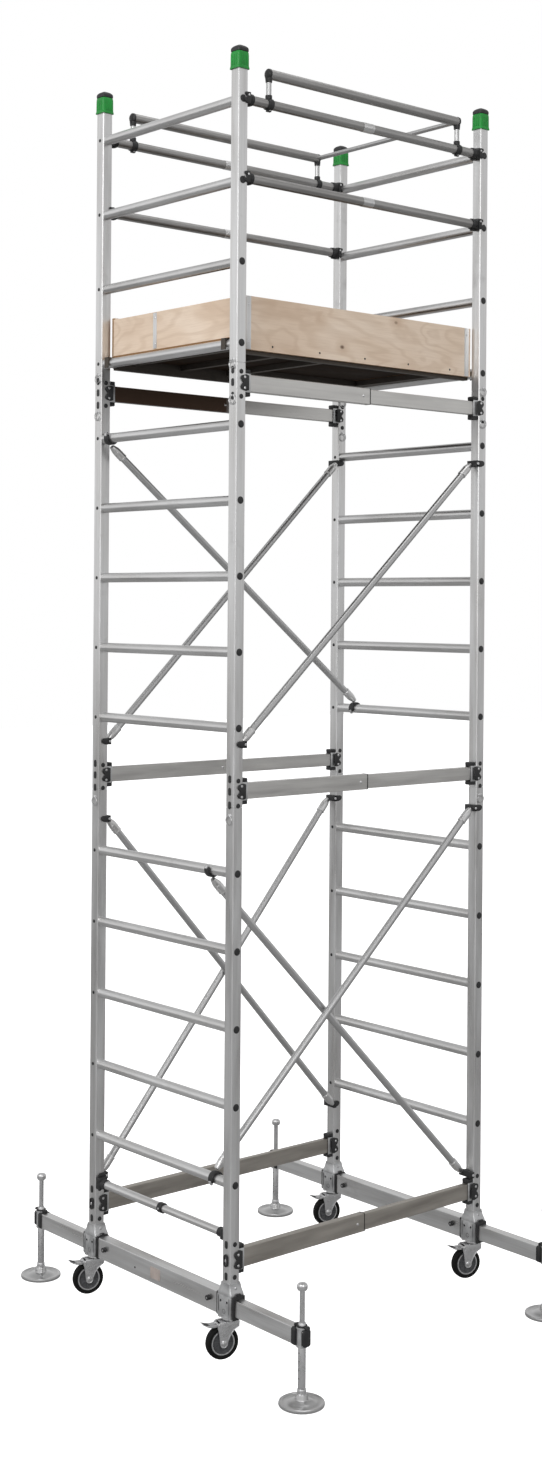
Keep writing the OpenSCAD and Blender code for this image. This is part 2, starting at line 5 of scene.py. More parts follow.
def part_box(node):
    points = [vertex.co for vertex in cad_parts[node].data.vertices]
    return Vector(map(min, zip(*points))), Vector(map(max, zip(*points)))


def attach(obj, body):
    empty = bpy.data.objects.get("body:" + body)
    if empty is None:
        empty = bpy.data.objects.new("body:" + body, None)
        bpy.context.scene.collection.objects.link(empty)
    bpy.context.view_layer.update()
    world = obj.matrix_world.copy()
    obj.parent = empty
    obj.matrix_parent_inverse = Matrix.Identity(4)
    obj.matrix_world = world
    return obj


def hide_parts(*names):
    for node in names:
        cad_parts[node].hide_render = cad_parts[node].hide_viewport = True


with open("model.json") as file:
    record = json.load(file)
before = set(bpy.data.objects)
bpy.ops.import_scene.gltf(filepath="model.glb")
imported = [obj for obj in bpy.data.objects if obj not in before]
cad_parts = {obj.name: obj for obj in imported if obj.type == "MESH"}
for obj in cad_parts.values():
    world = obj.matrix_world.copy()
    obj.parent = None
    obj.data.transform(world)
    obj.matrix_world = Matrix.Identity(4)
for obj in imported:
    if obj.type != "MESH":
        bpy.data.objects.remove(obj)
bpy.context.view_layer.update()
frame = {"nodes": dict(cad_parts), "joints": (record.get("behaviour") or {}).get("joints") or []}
NODES = frame["nodes"]
JOINTS = {j["name"]: j for j in frame["joints"]}

# ------------------------------------------------------------------ sizes
glo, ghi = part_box("guard_frame_posts")
llo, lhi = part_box("lower_frame_posts")
ulo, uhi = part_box("upper_frame_posts")
blo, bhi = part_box("base_beams")
HP = 0.0225
HX, HY = ghi.x - HP, ghi.y - HP
POST_TOP = ghi.z
J1, J2 = lhi.z, uhi.z
BEAM_BOT, BEAM_TOP = blo.z, bhi.z
BEAM_Z = (BEAM_BOT + BEAM_TOP) / 2
BEAM_B = 0.050
BEAM_END = bhi.y
CORNER = [(-1, 1), (-1, -1), (1, 1), (1, -1)]
CNAME = ["rear_left", "front_left", "rear_right", "front_right"]
LOWER = [0.681 + 0.286 * i for i in range(5)]
UPPER = [2.36 + 0.28 * i for i in range(5)]
GUARD = [3.78 + 0.30 * i for i in range(4)]
rlo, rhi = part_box("guard_rails")
RAIL_R = rhi.y - HY
RAIL_Z = [rlo.z + RAIL_R, rhi.z - RAIL_R]
blo2, bhi2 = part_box("raised_bars")
BAR_Z = 4.800
BAR_R = bhi2.z - BAR_Z
RUNG_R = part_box("lower_frame_rungs")[1].z - LOWER[-1]
BRACE_R = 0.014
DECK_LO, DECK_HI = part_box("deck_board")
TOE_LO, TOE_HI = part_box("toe_boards")
STRUT_LO, STRUT_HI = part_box("low_strut")
STRUT_Z = (STRUT_LO.z + STRUT_HI.z) / 2
STRUT_R = (STRUT_HI.z - STRUT_LO.z) / 2
STRUT_E = 0.0148
HEAD_Y = abs((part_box("jack_leg_1")[0].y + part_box("jack_leg_1")[1].y) / 2)
# side beams: (side, centre height, height, width)
SB = [(-1, 0.405, 0.070, 0.030), (1, 0.405, 0.070, 0.030),
      (-1, 2.127, 0.060, 0.030), (1, 2.127, 0.060, 0.030),
      (-1, 3.634, 0.062, 0.030), (1, 3.664, 0.062, 0.030)]

# ------------------------------------------------------------------ node helpers
def sock(n, *names):
    for k in names:
        if k in n.inputs:
            return n.inputs[k]
    raise KeyError(names)


class Mat:
    """A principled material with a few shorthand calls for procedural detail."""

    def __init__(self, name, color, rough, metal=0.0, spec=0.5, coat=0.0):
        self.m = bpy.data.materials.new(name)
        self.m.use_nodes = True
        self.nt = self.m.node_tree
        self.b = next(n for n in self.nt.nodes if n.type == "BSDF_PRINCIPLED")
        self.b.inputs["Base Color"].default_value = (*color, 1)
        self.b.inputs["Roughness"].default_value = rough
        self.b.inputs["Metallic"].default_value = metal
        self.b.inputs["Specular IOR Level"].default_value = spec
        if coat:
            self.b.inputs["Coat Weight"].default_value = coat
            self.b.inputs["Coat Roughness"].default_value = 0.25
        self.m.diffuse_color = (*color, 1)
        self.tc = self.nt.nodes.new("ShaderNodeTexCoord")
        self.bump_in = None

    def new(self, kind, **kw):
        n = self.nt.nodes.new(kind)
        for k, v in kw.items():
            setattr(n, k, v)
        return n

    def link(self, a, b):
        self.nt.links.new(a, b)

    def coords(self, scale=(1, 1, 1), rot=(0, 0, 0), src=None):
        mp = self.new("ShaderNodeMapping")
        mp.inputs["Scale"].default_value = scale
        mp.inputs["Rotation"].default_value = rot
        self.link(src or self.tc.outputs["Object"], mp.inputs["Vector"])
        return mp.outputs["Vector"]

    def noise(self, vec, scale, detail=3.0, rough=0.5, dist=0.0):
        n = self.new("ShaderNodeTexNoise")
        n.inputs["Scale"].default_value = scale
        n.inputs["Detail"].default_value = detail
        n.inputs["Roughness"].default_value = rough
        n.inputs["Distortion"].default_value = dist
        self.link(vec, n.inputs["Vector"])
        return n.outputs["Fac"]

    def ramp(self, fac, stops, interp="LINEAR"):
        r = self.new("ShaderNodeValToRGB")
        r.color_ramp.interpolation = interp
        el = r.color_ramp.elements
        while len(el) > 2:
            el.remove(el[-1])
        while len(el) < len(stops):
            el.new(0.5)
        for e, (p, c) in zip(el, stops):
            e.position = p
            e.color = (*c, 1) if len(c) == 3 else c
        self.link(fac, r.inputs["Fac"])
        return r.outputs["Color"]

    def range(self, fac, a, b, c, d):
        n = self.new("ShaderNodeMapRange")
        n.inputs["From Min"].default_value = a
        n.inputs["From Max"].default_value = b
        n.inputs["To Min"].default_value = c
        n.inputs["To Max"].default_value = d
        self.link(fac, n.inputs["Value"])
        return n.outputs["Result"]

    def math(self, op, a, b=None, c=None, clamp=False):
        n = self.new("ShaderNodeMath", operation=op)
        n.use_clamp = clamp
        for i, v in enumerate((a, b, c)):
            if v is None:
                continue
            if isinstance(v, (int, float)):
                n.inputs[i].default_value = v
            else:
                self.link(v, n.inputs[i])
        return n.outputs[0]

    def mix(self, fac, a, b, mode="MIX"):
        n = self.new("ShaderNodeMix", data_type="RGBA", blend_type=mode)
        for s, v in ((n.inputs[0], fac), (n.inputs[6], a), (n.inputs[7], b)):
            if isinstance(v, (int, float)):
                s.default_value = v
            elif isinstance(v, tuple):
                s.default_value = (*v, 1) if len(v) == 3 else v
            else:
                self.link(v, s)
        return n.outputs[2]

    def sep(self, src=None):
        n = self.new("ShaderNodeSeparateXYZ")
        self.link(src or self.tc.outputs["Object"], n.inputs[0])
        return n.outputs

    def normal(self):
        return self.sep(self.new("ShaderNodeNewGeometry").outputs["Normal"]) if False else self.sep(self.tc.outputs["Normal"])

    def color(self, c):
        self.link(c, self.b.inputs["Base Color"])

    def rough(self, r):
        self.link(r, self.b.inputs["Roughness"])

    def bump(self, height, strength=0.2, dist=0.001):
        n = self.new("ShaderNodeBump")
        n.inputs["Strength"].default_value = strength
        n.inputs["Distance"].default_value = dist
        self.link(height, n.inputs["Height"])
        if self.bump_in is not None:
            self.link(self.bump_in, n.inputs["Normal"])
        self.bump_in = n.outputs["Normal"]
        self.link(self.bump_in, self.b.inputs["Normal"])


def aluminium(name, axis, tone=0.74, warm=0.0, rough=0.30):
    """Satin extruded aluminium: die lines along the axis, soft clouding, small scuffs."""
    t = tone
    m = Mat(name, (t, t * (1 - warm * 0.5), t * (1 - warm)), rough, 1.0)
    s = {"x": (1.6, 260, 260), "y": (260, 1.6, 260), "z": (260, 260, 1.6), "o": (60, 60, 60)}[axis]
    c = {"x": (2.2, 26, 26), "y": (26, 2.2, 26), "z": (26, 26, 2.2), "o": (14, 14, 14)}[axis]
    lines = m.noise(m.coords(s), 1.0, 2.0, 0.6)
    cloud = m.noise(m.coords(c), 1.0, 3.0, 0.55)
    dirt = m.noise(m.coords((9, 9, 9)), 1.0, 4.0, 0.62)
    hi = (t * 1.06, t * 1.06 * (1 - warm * 0.5), t * 1.06 * (1 - warm))
    lo = (t * 0.83, t * 0.82 * (1 - warm * 0.5), t * 0.81 * (1 - warm))
    col = m.ramp(cloud, [(0.30, lo), (0.62, hi)])
    col = m.mix(m.range(lines, 0.35, 0.7, 0.0, 0.22), col, (t * 0.72, t * 0.72, t * 0.73))
    col = m.mix(m.range(dirt, 0.60, 0.80, 0.0, 0.35), col, (t * 0.55, t * 0.54, t * 0.53))
    m.color(col)
    r = m.math("ADD", m.range(cloud, 0.3, 0.7, rough - 0.05, rough + 0.10), m.range(lines, 0.3, 0.7, -0.03, 0.07))
    m.rough(m.math("ADD", r, m.range(dirt, 0.6, 0.8, 0.0, 0.15)))
    m.bump(lines, 0.10, 0.0004)
    return m.m


def beam_alu(name):
    """Side beams: satin aluminium, duller on the base beams, with one length in dark brown."""
    m = Mat(name, (0.66, 0.65, 0.63), 0.34, 1.0)
    x, y, z = m.sep()
    lines = m.noise(m.coords((1.6, 260, 260)), 1.0, 2.0, 0.6)
    cloud = m.noise(m.coords((3.0, 30, 30)), 1.0, 3.0, 0.55)
    col = m.ramp(cloud, [(0.30, (0.55, 0.54, 0.525)), (0.64, (0.70, 0.69, 0.67))])
    col = m.mix(m.range(lines, 0.35, 0.7, 0.0, 0.22), col, (0.47, 0.465, 0.455))
    low = m.math("LESS_THAN", z, 1.0)
    dull = m.ramp(cloud, [(0.30, (0.34, 0.315, 0.285)), (0.66, (0.50, 0.47, 0.43))])
    col = m.mix(low, col, dull)
    high = m.math("MULTIPLY", m.math("GREATER_THAN", z, 3.5), m.math("GREATER_THAN", y, 0.0))
    high = m.math("MULTIPLY", high, m.range(x, -0.02, 0.02, 1.0, 0.0))
    high = m.math("MULTIPLY", high, 1.0, clamp=True)
    col = m.mix(high, col, (0.085, 0.055, 0.040))
    m.color(col)
    m.rough(m.math("ADD", m.range(cloud, 0.3, 0.7, 0.30, 0.44), m.math("MULTIPLY", low, 0.08)))
    m.bump(lines, 0.10, 0.0004)
    return m.m


def cast_alu(name):
    m = Mat(name, (0.60, 0.61, 0.62), 0.42, 1.0)
    g = m.noise(m.coords((520, 520, 520)), 1.0, 2.0, 0.6)
    c = m.noise(m.coords((24, 24, 24)), 1.0, 3.0, 0.6)
    m.color(m.ramp(c, [(0.32, (0.47, 0.475, 0.48)), (0.66, (0.66, 0.665, 0.67))]))
    m.rough(m.range(c, 0.3, 0.7, 0.36, 0.52))
    m.bump(g, 0.30, 0.0005)
    return m.m


def zinc(name, tone=0.66, rough=0.26, speck=1.0):
    m = Mat(name, (tone, tone, tone * 1.02), rough, 1.0)
    v = m.new("ShaderNodeTexVoronoi", feature="F1")
    v.inputs["Scale"].default_value = 70
    m.link(m.coords(), v.inputs["Vector"])
    c = m.noise(m.coords((30, 30, 30)), 1.0, 4.0, 0.6)
    f = m.math("ADD", m.math("MULTIPLY", v.outputs["Distance"], 0.5), c)
    m.color(m.ramp(f, [(0.35, (tone * (1 - 0.13 * speck), tone * (1 - 0.13 * speck), tone * (1 - 0.12 * speck))), (0.80, (tone * (1 + 0.06 * speck), tone * (1 + 0.06 * speck), tone * (1 + 0.07 * speck)))]))
    m.rough(m.range(c, 0.3, 0.72, rough - 0.03 * speck, rough + 0.08 * speck))
    m.bump(c, 0.03 * speck, 0.0004)
    return m.m


def plastic(name, color, rough=0.42, coat=0.0, grain=900, vary=0.18):
    m = Mat(name, color, rough, 0.0, 0.5, coat)
    g = m.noise(m.coords((grain, grain, grain)), 1.0, 1.0, 0.5)
    c = m.noise(m.coords((22, 22, 22)), 1.0, 3.0, 0.6)
    up = tuple(min(1.0, x * (1 + vary) + 0.004) for x in color)
    dn = tuple(x * (1 - vary) for x in color)
    m.color(m.ramp(c, [(0.30, dn), (0.70, up)]))
    m.rough(m.range(c, 0.3, 0.7, rough - 0.06, rough + 0.12))
    m.bump(g, 0.22, 0.0003)
    return m.m


def rubber(name):
    m = Mat(name, (0.007, 0.007, 0.007), 0.70, 0.0, 0.12)
    g = m.noise(m.coords((420, 420, 420)), 1.0, 2.0, 0.6)
    c = m.noise(m.coords((35, 35, 35)), 1.0, 4.0, 0.65)
    m.color(m.ramp(c, [(0.35, (0.005, 0.005, 0.005)), (0.72, (0.013, 0.013, 0.012))]))
    m.rough(m.range(c, 0.3, 0.7, 0.52, 0.74))
    m.bump(g, 0.3, 0.0004)
    return m.m


def birch(name):
    """Rotary-cut birch plywood: the grain runs along each board, with plies on the edges."""
    m = Mat(name, (0.62, 0.46, 0.33), 0.46, 0.0, 0.45, 0.10)
    x, y, z = m.sep()
    side = m.math("GREATER_THAN", m.math("ABSOLUTE", y), TOE_HI.y - 0.0195)
    # u runs along the board, v up it, w through its thickness
    u = m.math("ADD", m.math("MULTIPLY", x, side), m.math("MULTIPLY", y, m.math("SUBTRACT", 1.0, side)))
    w = m.math("ADD", m.math("MULTIPLY", y, side), m.math("MULTIPLY", x, m.math("SUBTRACT", 1.0, side)))
    comb = m.new("ShaderNodeCombineXYZ")
    m.link(u, comb.inputs[0])
    m.link(z, comb.inputs[1])
    m.link(m.math("MULTIPLY", w, 0.6), comb.inputs[2])
    uv = comb.outputs[0]
    warp = m.noise(m.coords((2.4, 7.0, 2.0), src=uv), 1.0, 2.0, 0.5, 0.6)
    rings = m.math("SINE", m.math("MULTIPLY", warp, 46.0))
    fine = m.noise(m.coords((9.0, 150.0, 40.0), src=uv), 1.0, 3.0, 0.6)
    cloud = m.noise(m.coords((3.2, 5.5, 2.0), src=uv), 1.0, 2.0, 0.5)
    base = m.ramp(cloud, [(0.30, (0.68, 0.520, 0.390)), (0.52, (0.77, 0.615, 0.478)), (0.74, (0.84, 0.700, 0.570))])
    col = m.mix(m.range(rings, -0.2, 1.0, 0.0, 0.20), base, (0.44, 0.27, 0.15))
    col = m.mix(m.range(fine, 0.45, 0.75, 0.0, 0.22), col, (0.47, 0.31, 0.19))
    # a few small pin knots
    v = m.new("ShaderNodeTexVoronoi", feature="F1")
    v.inputs["Scale"].default_value = 1.0
    v.inputs["Randomness"].default_value = 1.0
    m.link(m.coords((4.2, 6.0, 1.0), src=uv), v.inputs["Vector"])
    knot = m.range(v.outputs["Distance"], 0.022, 0.060, 0.85, 0.0)
    halo = m.range(v.outputs["Distance"], 0.05, 0.20, 0.30, 0.0)
    col = m.mix(m.math("MAXIMUM", halo, 0.0, clamp=True), col, (0.42, 0.235, 0.11))
    col = m.mix(m.math("MAXIMUM", knot, 0.0, clamp=True), col, (0.10, 0.045, 0.02))
    # plies on the edges
    nx, ny, nz = m.normal()
    edge = m.math("GREATER_THAN", m.math("ABSOLUTE", nz), 0.6)
    ends = m.math("GREATER_THAN", m.math("ABSOLUTE", m.math("ADD", m.math("MULTIPLY", nx, side), m.math("MULTIPLY", ny, m.math("SUBTRACT", 1.0, side)))), 0.6)
    edge = m.math("MAXIMUM", edge, ends)
    ply = m.math("SINE", m.math("MULTIPLY", w, 2 * math.pi / 0.0032))
    plies = m.ramp(m.range(ply, -1, 1, 0, 1), [(0.30, (0.22, 0.115, 0.05)), (0.62, (0.48, 0.30, 0.17))])
    col = m.mix(edge, col, plies)
    m.color(col)
    m.rough(m.range(cloud, 0.3, 0.7, 0.40, 0.56))
    m.bump(fine, 0.10, 0.0005)
    return m.m


def film_ply(name):
    """Film-faced plywood: dark film with a pressed mesh on top, plies on the edges."""
    m = Mat(name, (0.030, 0.018, 0.011), 0.80, 0.0, 0.1)
    x, y, z = m.sep()
    nx, ny, nz = m.normal()
    c = m.noise(m.coords((5, 9, 5)), 1.0, 4.0, 0.6)
    g = m.noise(m.coords((2.0, 60, 2.0)), 1.0, 3.0, 0.6)
    col = m.ramp(c, [(0.30, (0.012, 0.007, 0.004)), (0.55, (0.020, 0.012, 0.007)), (0.78, (0.034, 0.020, 0.011))])
    col = m.mix(m.range(g, 0.45, 0.8, 0.0, 0.35), col, (0.070, 0.040, 0.021))
    side = m.math("LESS_THAN", m.math("ABSOLUTE", nz), 0.5)
    ply = m.math("SINE", m.math("MULTIPLY", z, 2 * math.pi / 0.0028))
    plies = m.ramp(m.range(ply, -1, 1, 0, 1), [(0.3, (0.16, 0.08, 0.035)), (0.6, (0.38, 0.23, 0.12))])
    m.color(m.mix(side, col, plies))
    m.rough(m.range(c, 0.3, 0.7, 0.70, 0.90))
    # pressed wire mesh, on the upper face only
    gx = m.math("ABSOLUTE", m.math("SINE", m.math("MULTIPLY", m.math("ADD", x, y), math.pi / 0.006)))
    gy = m.math("ABSOLUTE", m.math("SINE", m.math("MULTIPLY", m.math("SUBTRACT", x, y), math.pi / 0.006)))
    top = m.math("GREATER_THAN", nz, 0.5)
    m.bump(m.math("MULTIPLY", m.math("MINIMUM", gx, gy), top), 0.35, 0.0006)
    return m.m


ALU_X = aluminium("aluminium_x", "x")
ALU_Y = aluminium("aluminium_y", "y")
ALU_Z = aluminium("aluminium_z", "z")
ALU_O = aluminium("aluminium_any", "o")
ALU_BEAM = beam_alu("aluminium_beam")
CAST = cast_alu("cast_aluminium")
ZINC = zinc("zinc_plate")
BRIGHT = zinc("zinc_bright", 0.56, 0.28, 0.15)
SATIN = zinc("aluminium_satin", 0.54, 0.36, 0.2)
ALU_RAIL = aluminium("aluminium_rail", "x", 0.42, 0.03, 0.36)
# painted shade: the platform frame's aluminium is made very dark and brown to stand for the shade under the deck
ALU_FRAME_SHADED = aluminium("aluminium_platform_shaded", "x", 0.12, 0.24, 0.55)
BLACK = plastic("black_plastic", (0.014, 0.014, 0.015), 0.46)
DARK = plastic("dark_insert", (0.012, 0.012, 0.012), 0.6)
GREEN = plastic("green_plastic", (0.0, 0.255, 0.026), 0.44, 0.05)
GREY = plastic("grey_plastic", (0.085, 0.087, 0.092), 0.5)
RUBBER = rubber("black_rubber")
BIRCH = birch("birch_plywood")
FILM = film_ply("film_plywood")
LABEL = plastic("blank_label", (0.42, 0.36, 0.33), 0.5)

# ------------------------------------------------------------------ mesh helpers
I4 = Matrix.Identity(4)


def T(x=0.0, y=0.0, z=0.0):
    return Matrix.Translation((x, y, z))


def R(axis, deg):
    return Matrix.Rotation(math.radians(deg), 4, axis)


def AL(a, b):
    a, b = Vector(a), Vector(b)
    return Matrix.Translation(a) @ (b - a).to_track_quat("Z", "Y").to_matrix().to_4x4()


def rrect(w, h, r, n=5):
    """Rounded rectangle, counter-clockwise."""
    pts = []
    for cx, cy, a0 in ((w/2 - r, h/2 - r, 0), (-w/2 + r, h/2 - r, 90), (-w/2 + r, -h/2 + r, 180), (w/2 - r, -h/2 + r, 270)):
        for k in range(n + 1):
            a = math.radians(a0 + 90 * k / n)
            pts.append((cx + r * math.cos(a), cy + r * math.sin(a)))
    return pts


class Piece:
    def __init__(self, name, mats):
        self.name, self.mats = name, mats
        self.bm = bmesh.new()

    def _take(self, t, M, mi):
        bmesh.ops.recalc_face_normals(t, faces=t.faces)
        for f in t.faces:
            f.material_index = mi
            f.smooth = True
        t.transform(M)
        if M.determinant() < 0:
            bmesh.ops.reverse_faces(t, faces=t.faces)
        me = bpy.data.meshes.new("tmp")
        t.to_mesh(me)
        t.free()
        self.bm.from_mesh(me)
        bpy.data.meshes.remove(me)
        return self

    def box(self, M, sx, sy, sz, bev=0.0015, mi=0, seg=2):
        t = bmesh.new()
        bmesh.ops.create_cube(t, size=1.0)
        for v in t.verts:
            v.co = Vector((v.co.x * sx, v.co.y * sy, v.co.z * sz))
        if bev > 0:
            bmesh.ops.bevel(t, geom=list(t.edges), offset=min(bev, 0.45 * min(sx, sy, sz)), segments=seg, profile=0.5, affect="EDGES")
        return self._take(t, M, mi)

    def prism(self, M, pts, z0, z1, bev=0.001, mi=0, seg=2):
        t = bmesh.new()
        a = [t.verts.new((x, y, z0)) for x, y in pts]
        b = [t.verts.new((x, y, z1)) for x, y in pts]
        n = len(pts)
        t.faces.new(a[::-1])
        t.faces.new(b)
        for k in range(n):
            t.faces.new((a[k], a[(k + 1) % n], b[(k + 1) % n], b[k]))
        if bev > 0:
            bmesh.ops.recalc_face_normals(t, faces=t.faces)
            es = [e for e in t.edges if e.calc_face_angle(0) > 0.5]
            bmesh.ops.bevel(t, geom=es, offset=bev, segments=seg, profile=0.5, affect="EDGES", clamp_overlap=True)
        return self._take(t, M, mi)

    def ring(self, M, outer, inner, z0, z1, mi=0, bev=0.0):
        """Walled ring between two outlines with the same number of points."""
        t = bmesh.new()
        L = [[t.verts.new((x, y, z)) for x, y in p] for p, z in ((outer, z0), (outer, z1), (inner, z1), (inner, z0))]
        n = len(outer)
        for i in range(4):
            A, B = L[i], L[(i + 1) % 4]
            for k in range(n):
                t.faces.new((A[k], A[(k + 1) % n], B[(k + 1) % n], B[k]))
        if bev > 0:
            bmesh.ops.recalc_face_normals(t, faces=t.faces)
            es = [e for e in t.edges if e.calc_face_angle(0) > 0.9]
            bmesh.ops.bevel(t, geom=es, offset=bev, segments=2, profile=0.5, affect="EDGES", clamp_overlap=True)
        return self._take(t, M, mi)

    def loft(self, M, sections, mi=0, caps=True):
        """sections: list of (outline, z)."""
        t = bmesh.new()
        L = [[t.verts.new((x, y, z)) for x, y in p] for p, z in sections]
        n = len(L[0])
        for A, B in zip(L, L[1:]):
            for k in range(n):
                t.faces.new((A[k], A[(k + 1) % n], B[(k + 1) % n], B[k]))
        if caps:
            t.faces.new(L[0][::-1])
            t.faces.new(L[-1])
        return self._take(t, M, mi)

    def lathe(self, M, prof, seg=40, mi=0, close=False):
        t = bmesh.new()
        L = []
        for r, z in prof:
            if r < 1e-7:
                L.append([t.verts.new((0, 0, z))])
            else:
                L.append([t.verts.new((r * math.cos(2 * math.pi * k / seg), r * math.sin(2 * math.pi * k / seg), z)) for k in range(seg)])
        pairs = list(zip(L, L[1:])) + ([(L[-1], L[0])] if close else [])
        for A, B in pairs:
            if len(A) == 1 and len(B) == 1:
                continue
            for k in range(seg):
                k2 = (k + 1) % seg
                if len(A) == 1:
                    t.faces.new((A[0], B[k2], B[k]))
                elif len(B) == 1:
                    t.faces.new((A[k], A[k2], B[0]))
                else:
                    t.faces.new((A[k], A[k2], B[k2], B[k]))
        return self._take(t, M, mi)

    def cyl(self, M, r, z0, z1, bev=0.001, seg=32, mi=0, r1=None):
        r1 = r if r1 is None else r1
        b = min(bev, (z1 - z0) * 0.45, r * 0.4)
        if b <= 0:
            return self.lathe(M, [(0, z0), (r, z0), (r1, z1), (0, z1)], seg, mi)
        return self.lathe(M, [(0, z0), (r - b, z0), (r - b * 0.3, z0 + b * 0.3), (r, z0 + b), (r1, z1 - b), (r1 - b * 0.3, z1 - b * 0.3), (r1 - b, z1), (0, z1)], seg, mi)

    def pipe(self, M, ro, ri, z0, z1, seg=40, mi=0, bev=0.0008):
        b = min(bev, (ro - ri) * 0.4)
        return self.lathe(M, [(ri, z0 + b), (ri + b, z0), (ro - b, z0), (ro, z0 + b), (ro, z1 - b), (ro - b, z1), (ri + b, z1), (ri, z1 - b)], seg, mi, close=True)

    def hexa(self, M, af, z0, z1, mi=0):
        r = af / 2 / math.cos(math.pi / 6)
        return self.prism(M, [(r * math.cos(math.pi / 3 * k), r * math.sin(math.pi / 3 * k)) for k in range(6)], z0, z1, 0.0008, mi)

    def sweep(self, M, pts, r, seg=10, closed=False, mi=0, flat=1.0):
        P = [Vector(p) for p in pts]
        n = len(P)
        tang = []
        for i in range(n):
            a = P[(i - 1) % n] if closed or i > 0 else P[i]
            b = P[(i + 1) % n] if closed or i < n - 1 else P[i]
            tang.append((b - a).normalized())
        up = Vector((0, 0, 1)) if abs(tang[0].z) < 0.9 else Vector((1, 0, 0))
        side = tang[0].cross(up).normalized()
        t = bmesh.new()
        L = []
        for i in range(n):
            side = (side - tang[i] * side.dot(tang[i])).normalized()
            nn = tang[i].cross(side)
            L.append([t.verts.new(P[i] + side * (r * math.cos(2 * math.pi * k / seg)) + nn * (r * flat * math.sin(2 * math.pi * k / seg))) for k in range(seg)])
        m = n if closed else n - 1
        for i in range(m):
            A, B = L[i], L[(i + 1) % n]
            off = 0
            if closed and i == n - 1:
                best = min(range(seg), key=lambda o: sum((A[k].co - B[(k + o) % seg].co).length for k in range(seg)))
                off = best
            for k in range(seg):
                t.faces.new((A[k], A[(k + 1) % seg], B[(k + 1 + off) % seg], B[(k + off) % seg]))
        if not closed:
            t.faces.new(L[0][::-1])
            t.faces.new(L[-1])
        return self._take(t, M, mi)

    def torus(self, M, R_, r, seg=36, sides=10, mi=0):
        return self.sweep(M, [(R_ * math.cos(2 * math.pi * k / seg), R_ * math.sin(2 * math.pi * k / seg), 0) for k in range(seg)], r, sides, True, mi)

    def done(self, body, slot, *nodes):
        self.bm.normal_update()
        for e in self.bm.edges:
            if e.is_manifold and e.calc_face_angle(0) > 0.49:
                e.smooth = False
        me = bpy.data.meshes.new(self.name)
        self.bm.to_mesh(me)
        self.bm.free()
        for m in self.mats:
            me.materials.append(m)
        o = bpy.data.objects.new(self.name, me)
        bpy.context.scene.collection.objects.link(o)
        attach(o, body)
        if nodes:
            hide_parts(*nodes)
        return o


def paint(node, mat, bevel=0.0):
    o = NODES[node]
    if not o.material_slots:
        o.data.materials.append(mat)
    for s in o.material_slots:
        s.material = mat
    if bevel:
        b = o.modifiers.new("edge", "BEVEL")
        b.width = bevel
        b.segments = 2
        b.limit_method = "ANGLE"
        b.angle_limit = math.radians(40)


# ------------------------------------------------------------------ carried-over CAD nodes
paint("base_beams", ALU_Y)
paint("lower_frame_posts", ALU_Z)
paint("upper_frame_posts", ALU_Z)
paint("guard_frame_posts", ALU_Z)
for n in ("lower_frame_rungs", "upper_frame_rungs", "guard_frame_rungs", "low_strut"):
    paint(n, ALU_Y)
paint("side_beam_sleeves", ALU_BEAM)
paint("side_beam_inners", ALU_BEAM)
paint("joint_spigots", ZINC)
paint("guard_rails", ALU_RAIL)
paint("brace_tubes", SATIN)
# the platform frame gets the aluminium darkened with painted shade
paint("platform_frame", ALU_FRAME_SHADED)
paint("deck_board", FILM)
paint("toe_boards", BIRCH, 0.0012)
for i in range(1, 5):
    paint("outrigger_tube_%d" % i, ALU_Y)

# ------------------------------------------------------------------ post caps and plugs
p = Piece("green_caps", [GREEN])
c0, c1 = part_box("post_caps")
zb, zt = c0.z, c1.z
for sx, sy in CORNER:
    M = T(sx * HX, sy * HY, 0)
    out = [(0.0566, 0.0), (0.0568, 0.0028), (0.0556, 0.0062), (0.0540, 0.0086), (0.0534, 0.0130), (0.0530, 0.0500), (0.0522, 0.0570), (0.0505, 0.0616), (0.0478, 0.0636)]
    inn = [(0.0478, 0.0636), (0.0466, 0.0628), (0.0464, 0.0560)]
    secs = [(rrect(w, w, 0.0085), zb + h) for w, h in out] + [(rrect(w, w, 0.006), zb + h) for w, h in inn[1:]]
    p.loft(M, [(rrect(0.0462, 0.0462, 0.004), zb)] + secs, 0, caps=False)
    # shallow grip ribs on each face
    for k in range(4):
        Mk = M @ R("Z", 90 * k)
        for d in (-0.012, 0.0, 0.012):
            p.box(Mk @ T(0.0268, d, zb + 0.031), 0.0020, 0.0040, 0.036, 0.0007)
p.done("tower", "green_plastic", "post_caps")

p = Piece("tube_plug_set", [BLACK, ZINC, DARK])
for sx, sy in CORNER:
    M = T(sx * HX, sy * HY, 0)
    z = POST_TOP
    dome = [(0.0450, 0.0010), (0.0456, 0.0046), (0.0508, 0.0048), (0.0518, 0.0075), (0.0516, 0.0140), (0.0494, 0.0178), (0.0440, 0.0216), (0.0350, 0.0252), (0.0230, 0.0280), (0.0120, 0.0293), (0.0040, 0.0297)]
    p.loft(M, [(rrect(w, w, min(0.008, w * 0.3)), z + h) for w, h in dome], 0)
    for zz in LOWER + UPPER + GUARD:
        # domed plug over each rung end, with a thin rim
        Mp = M @ T(0, sy * HP, zz) @ R("X", -90 * sy)
        p.lathe(Mp, [(0.0138, -0.001), (0.0138, 0.0008), (0.0130, 0.0016), (0.0122, 0.0017), (0.0116, 0.0024), (0.0085, 0.0031), (0.004, 0.0034), (0, 0.0034)], 28, 0)
        if sy > 0:
            Mr = M @ T(-HP, 0, zz) @ R("Y", -90)
            p.lathe(Mr, [(0.0068, -0.0005), (0.0069, 0.0006), (0.0058, 0.0014), (0.0030, 0.0019), (0, 0.0020)], 24, 0)
p.done("tower", "black_plastic", "tube_plugs")

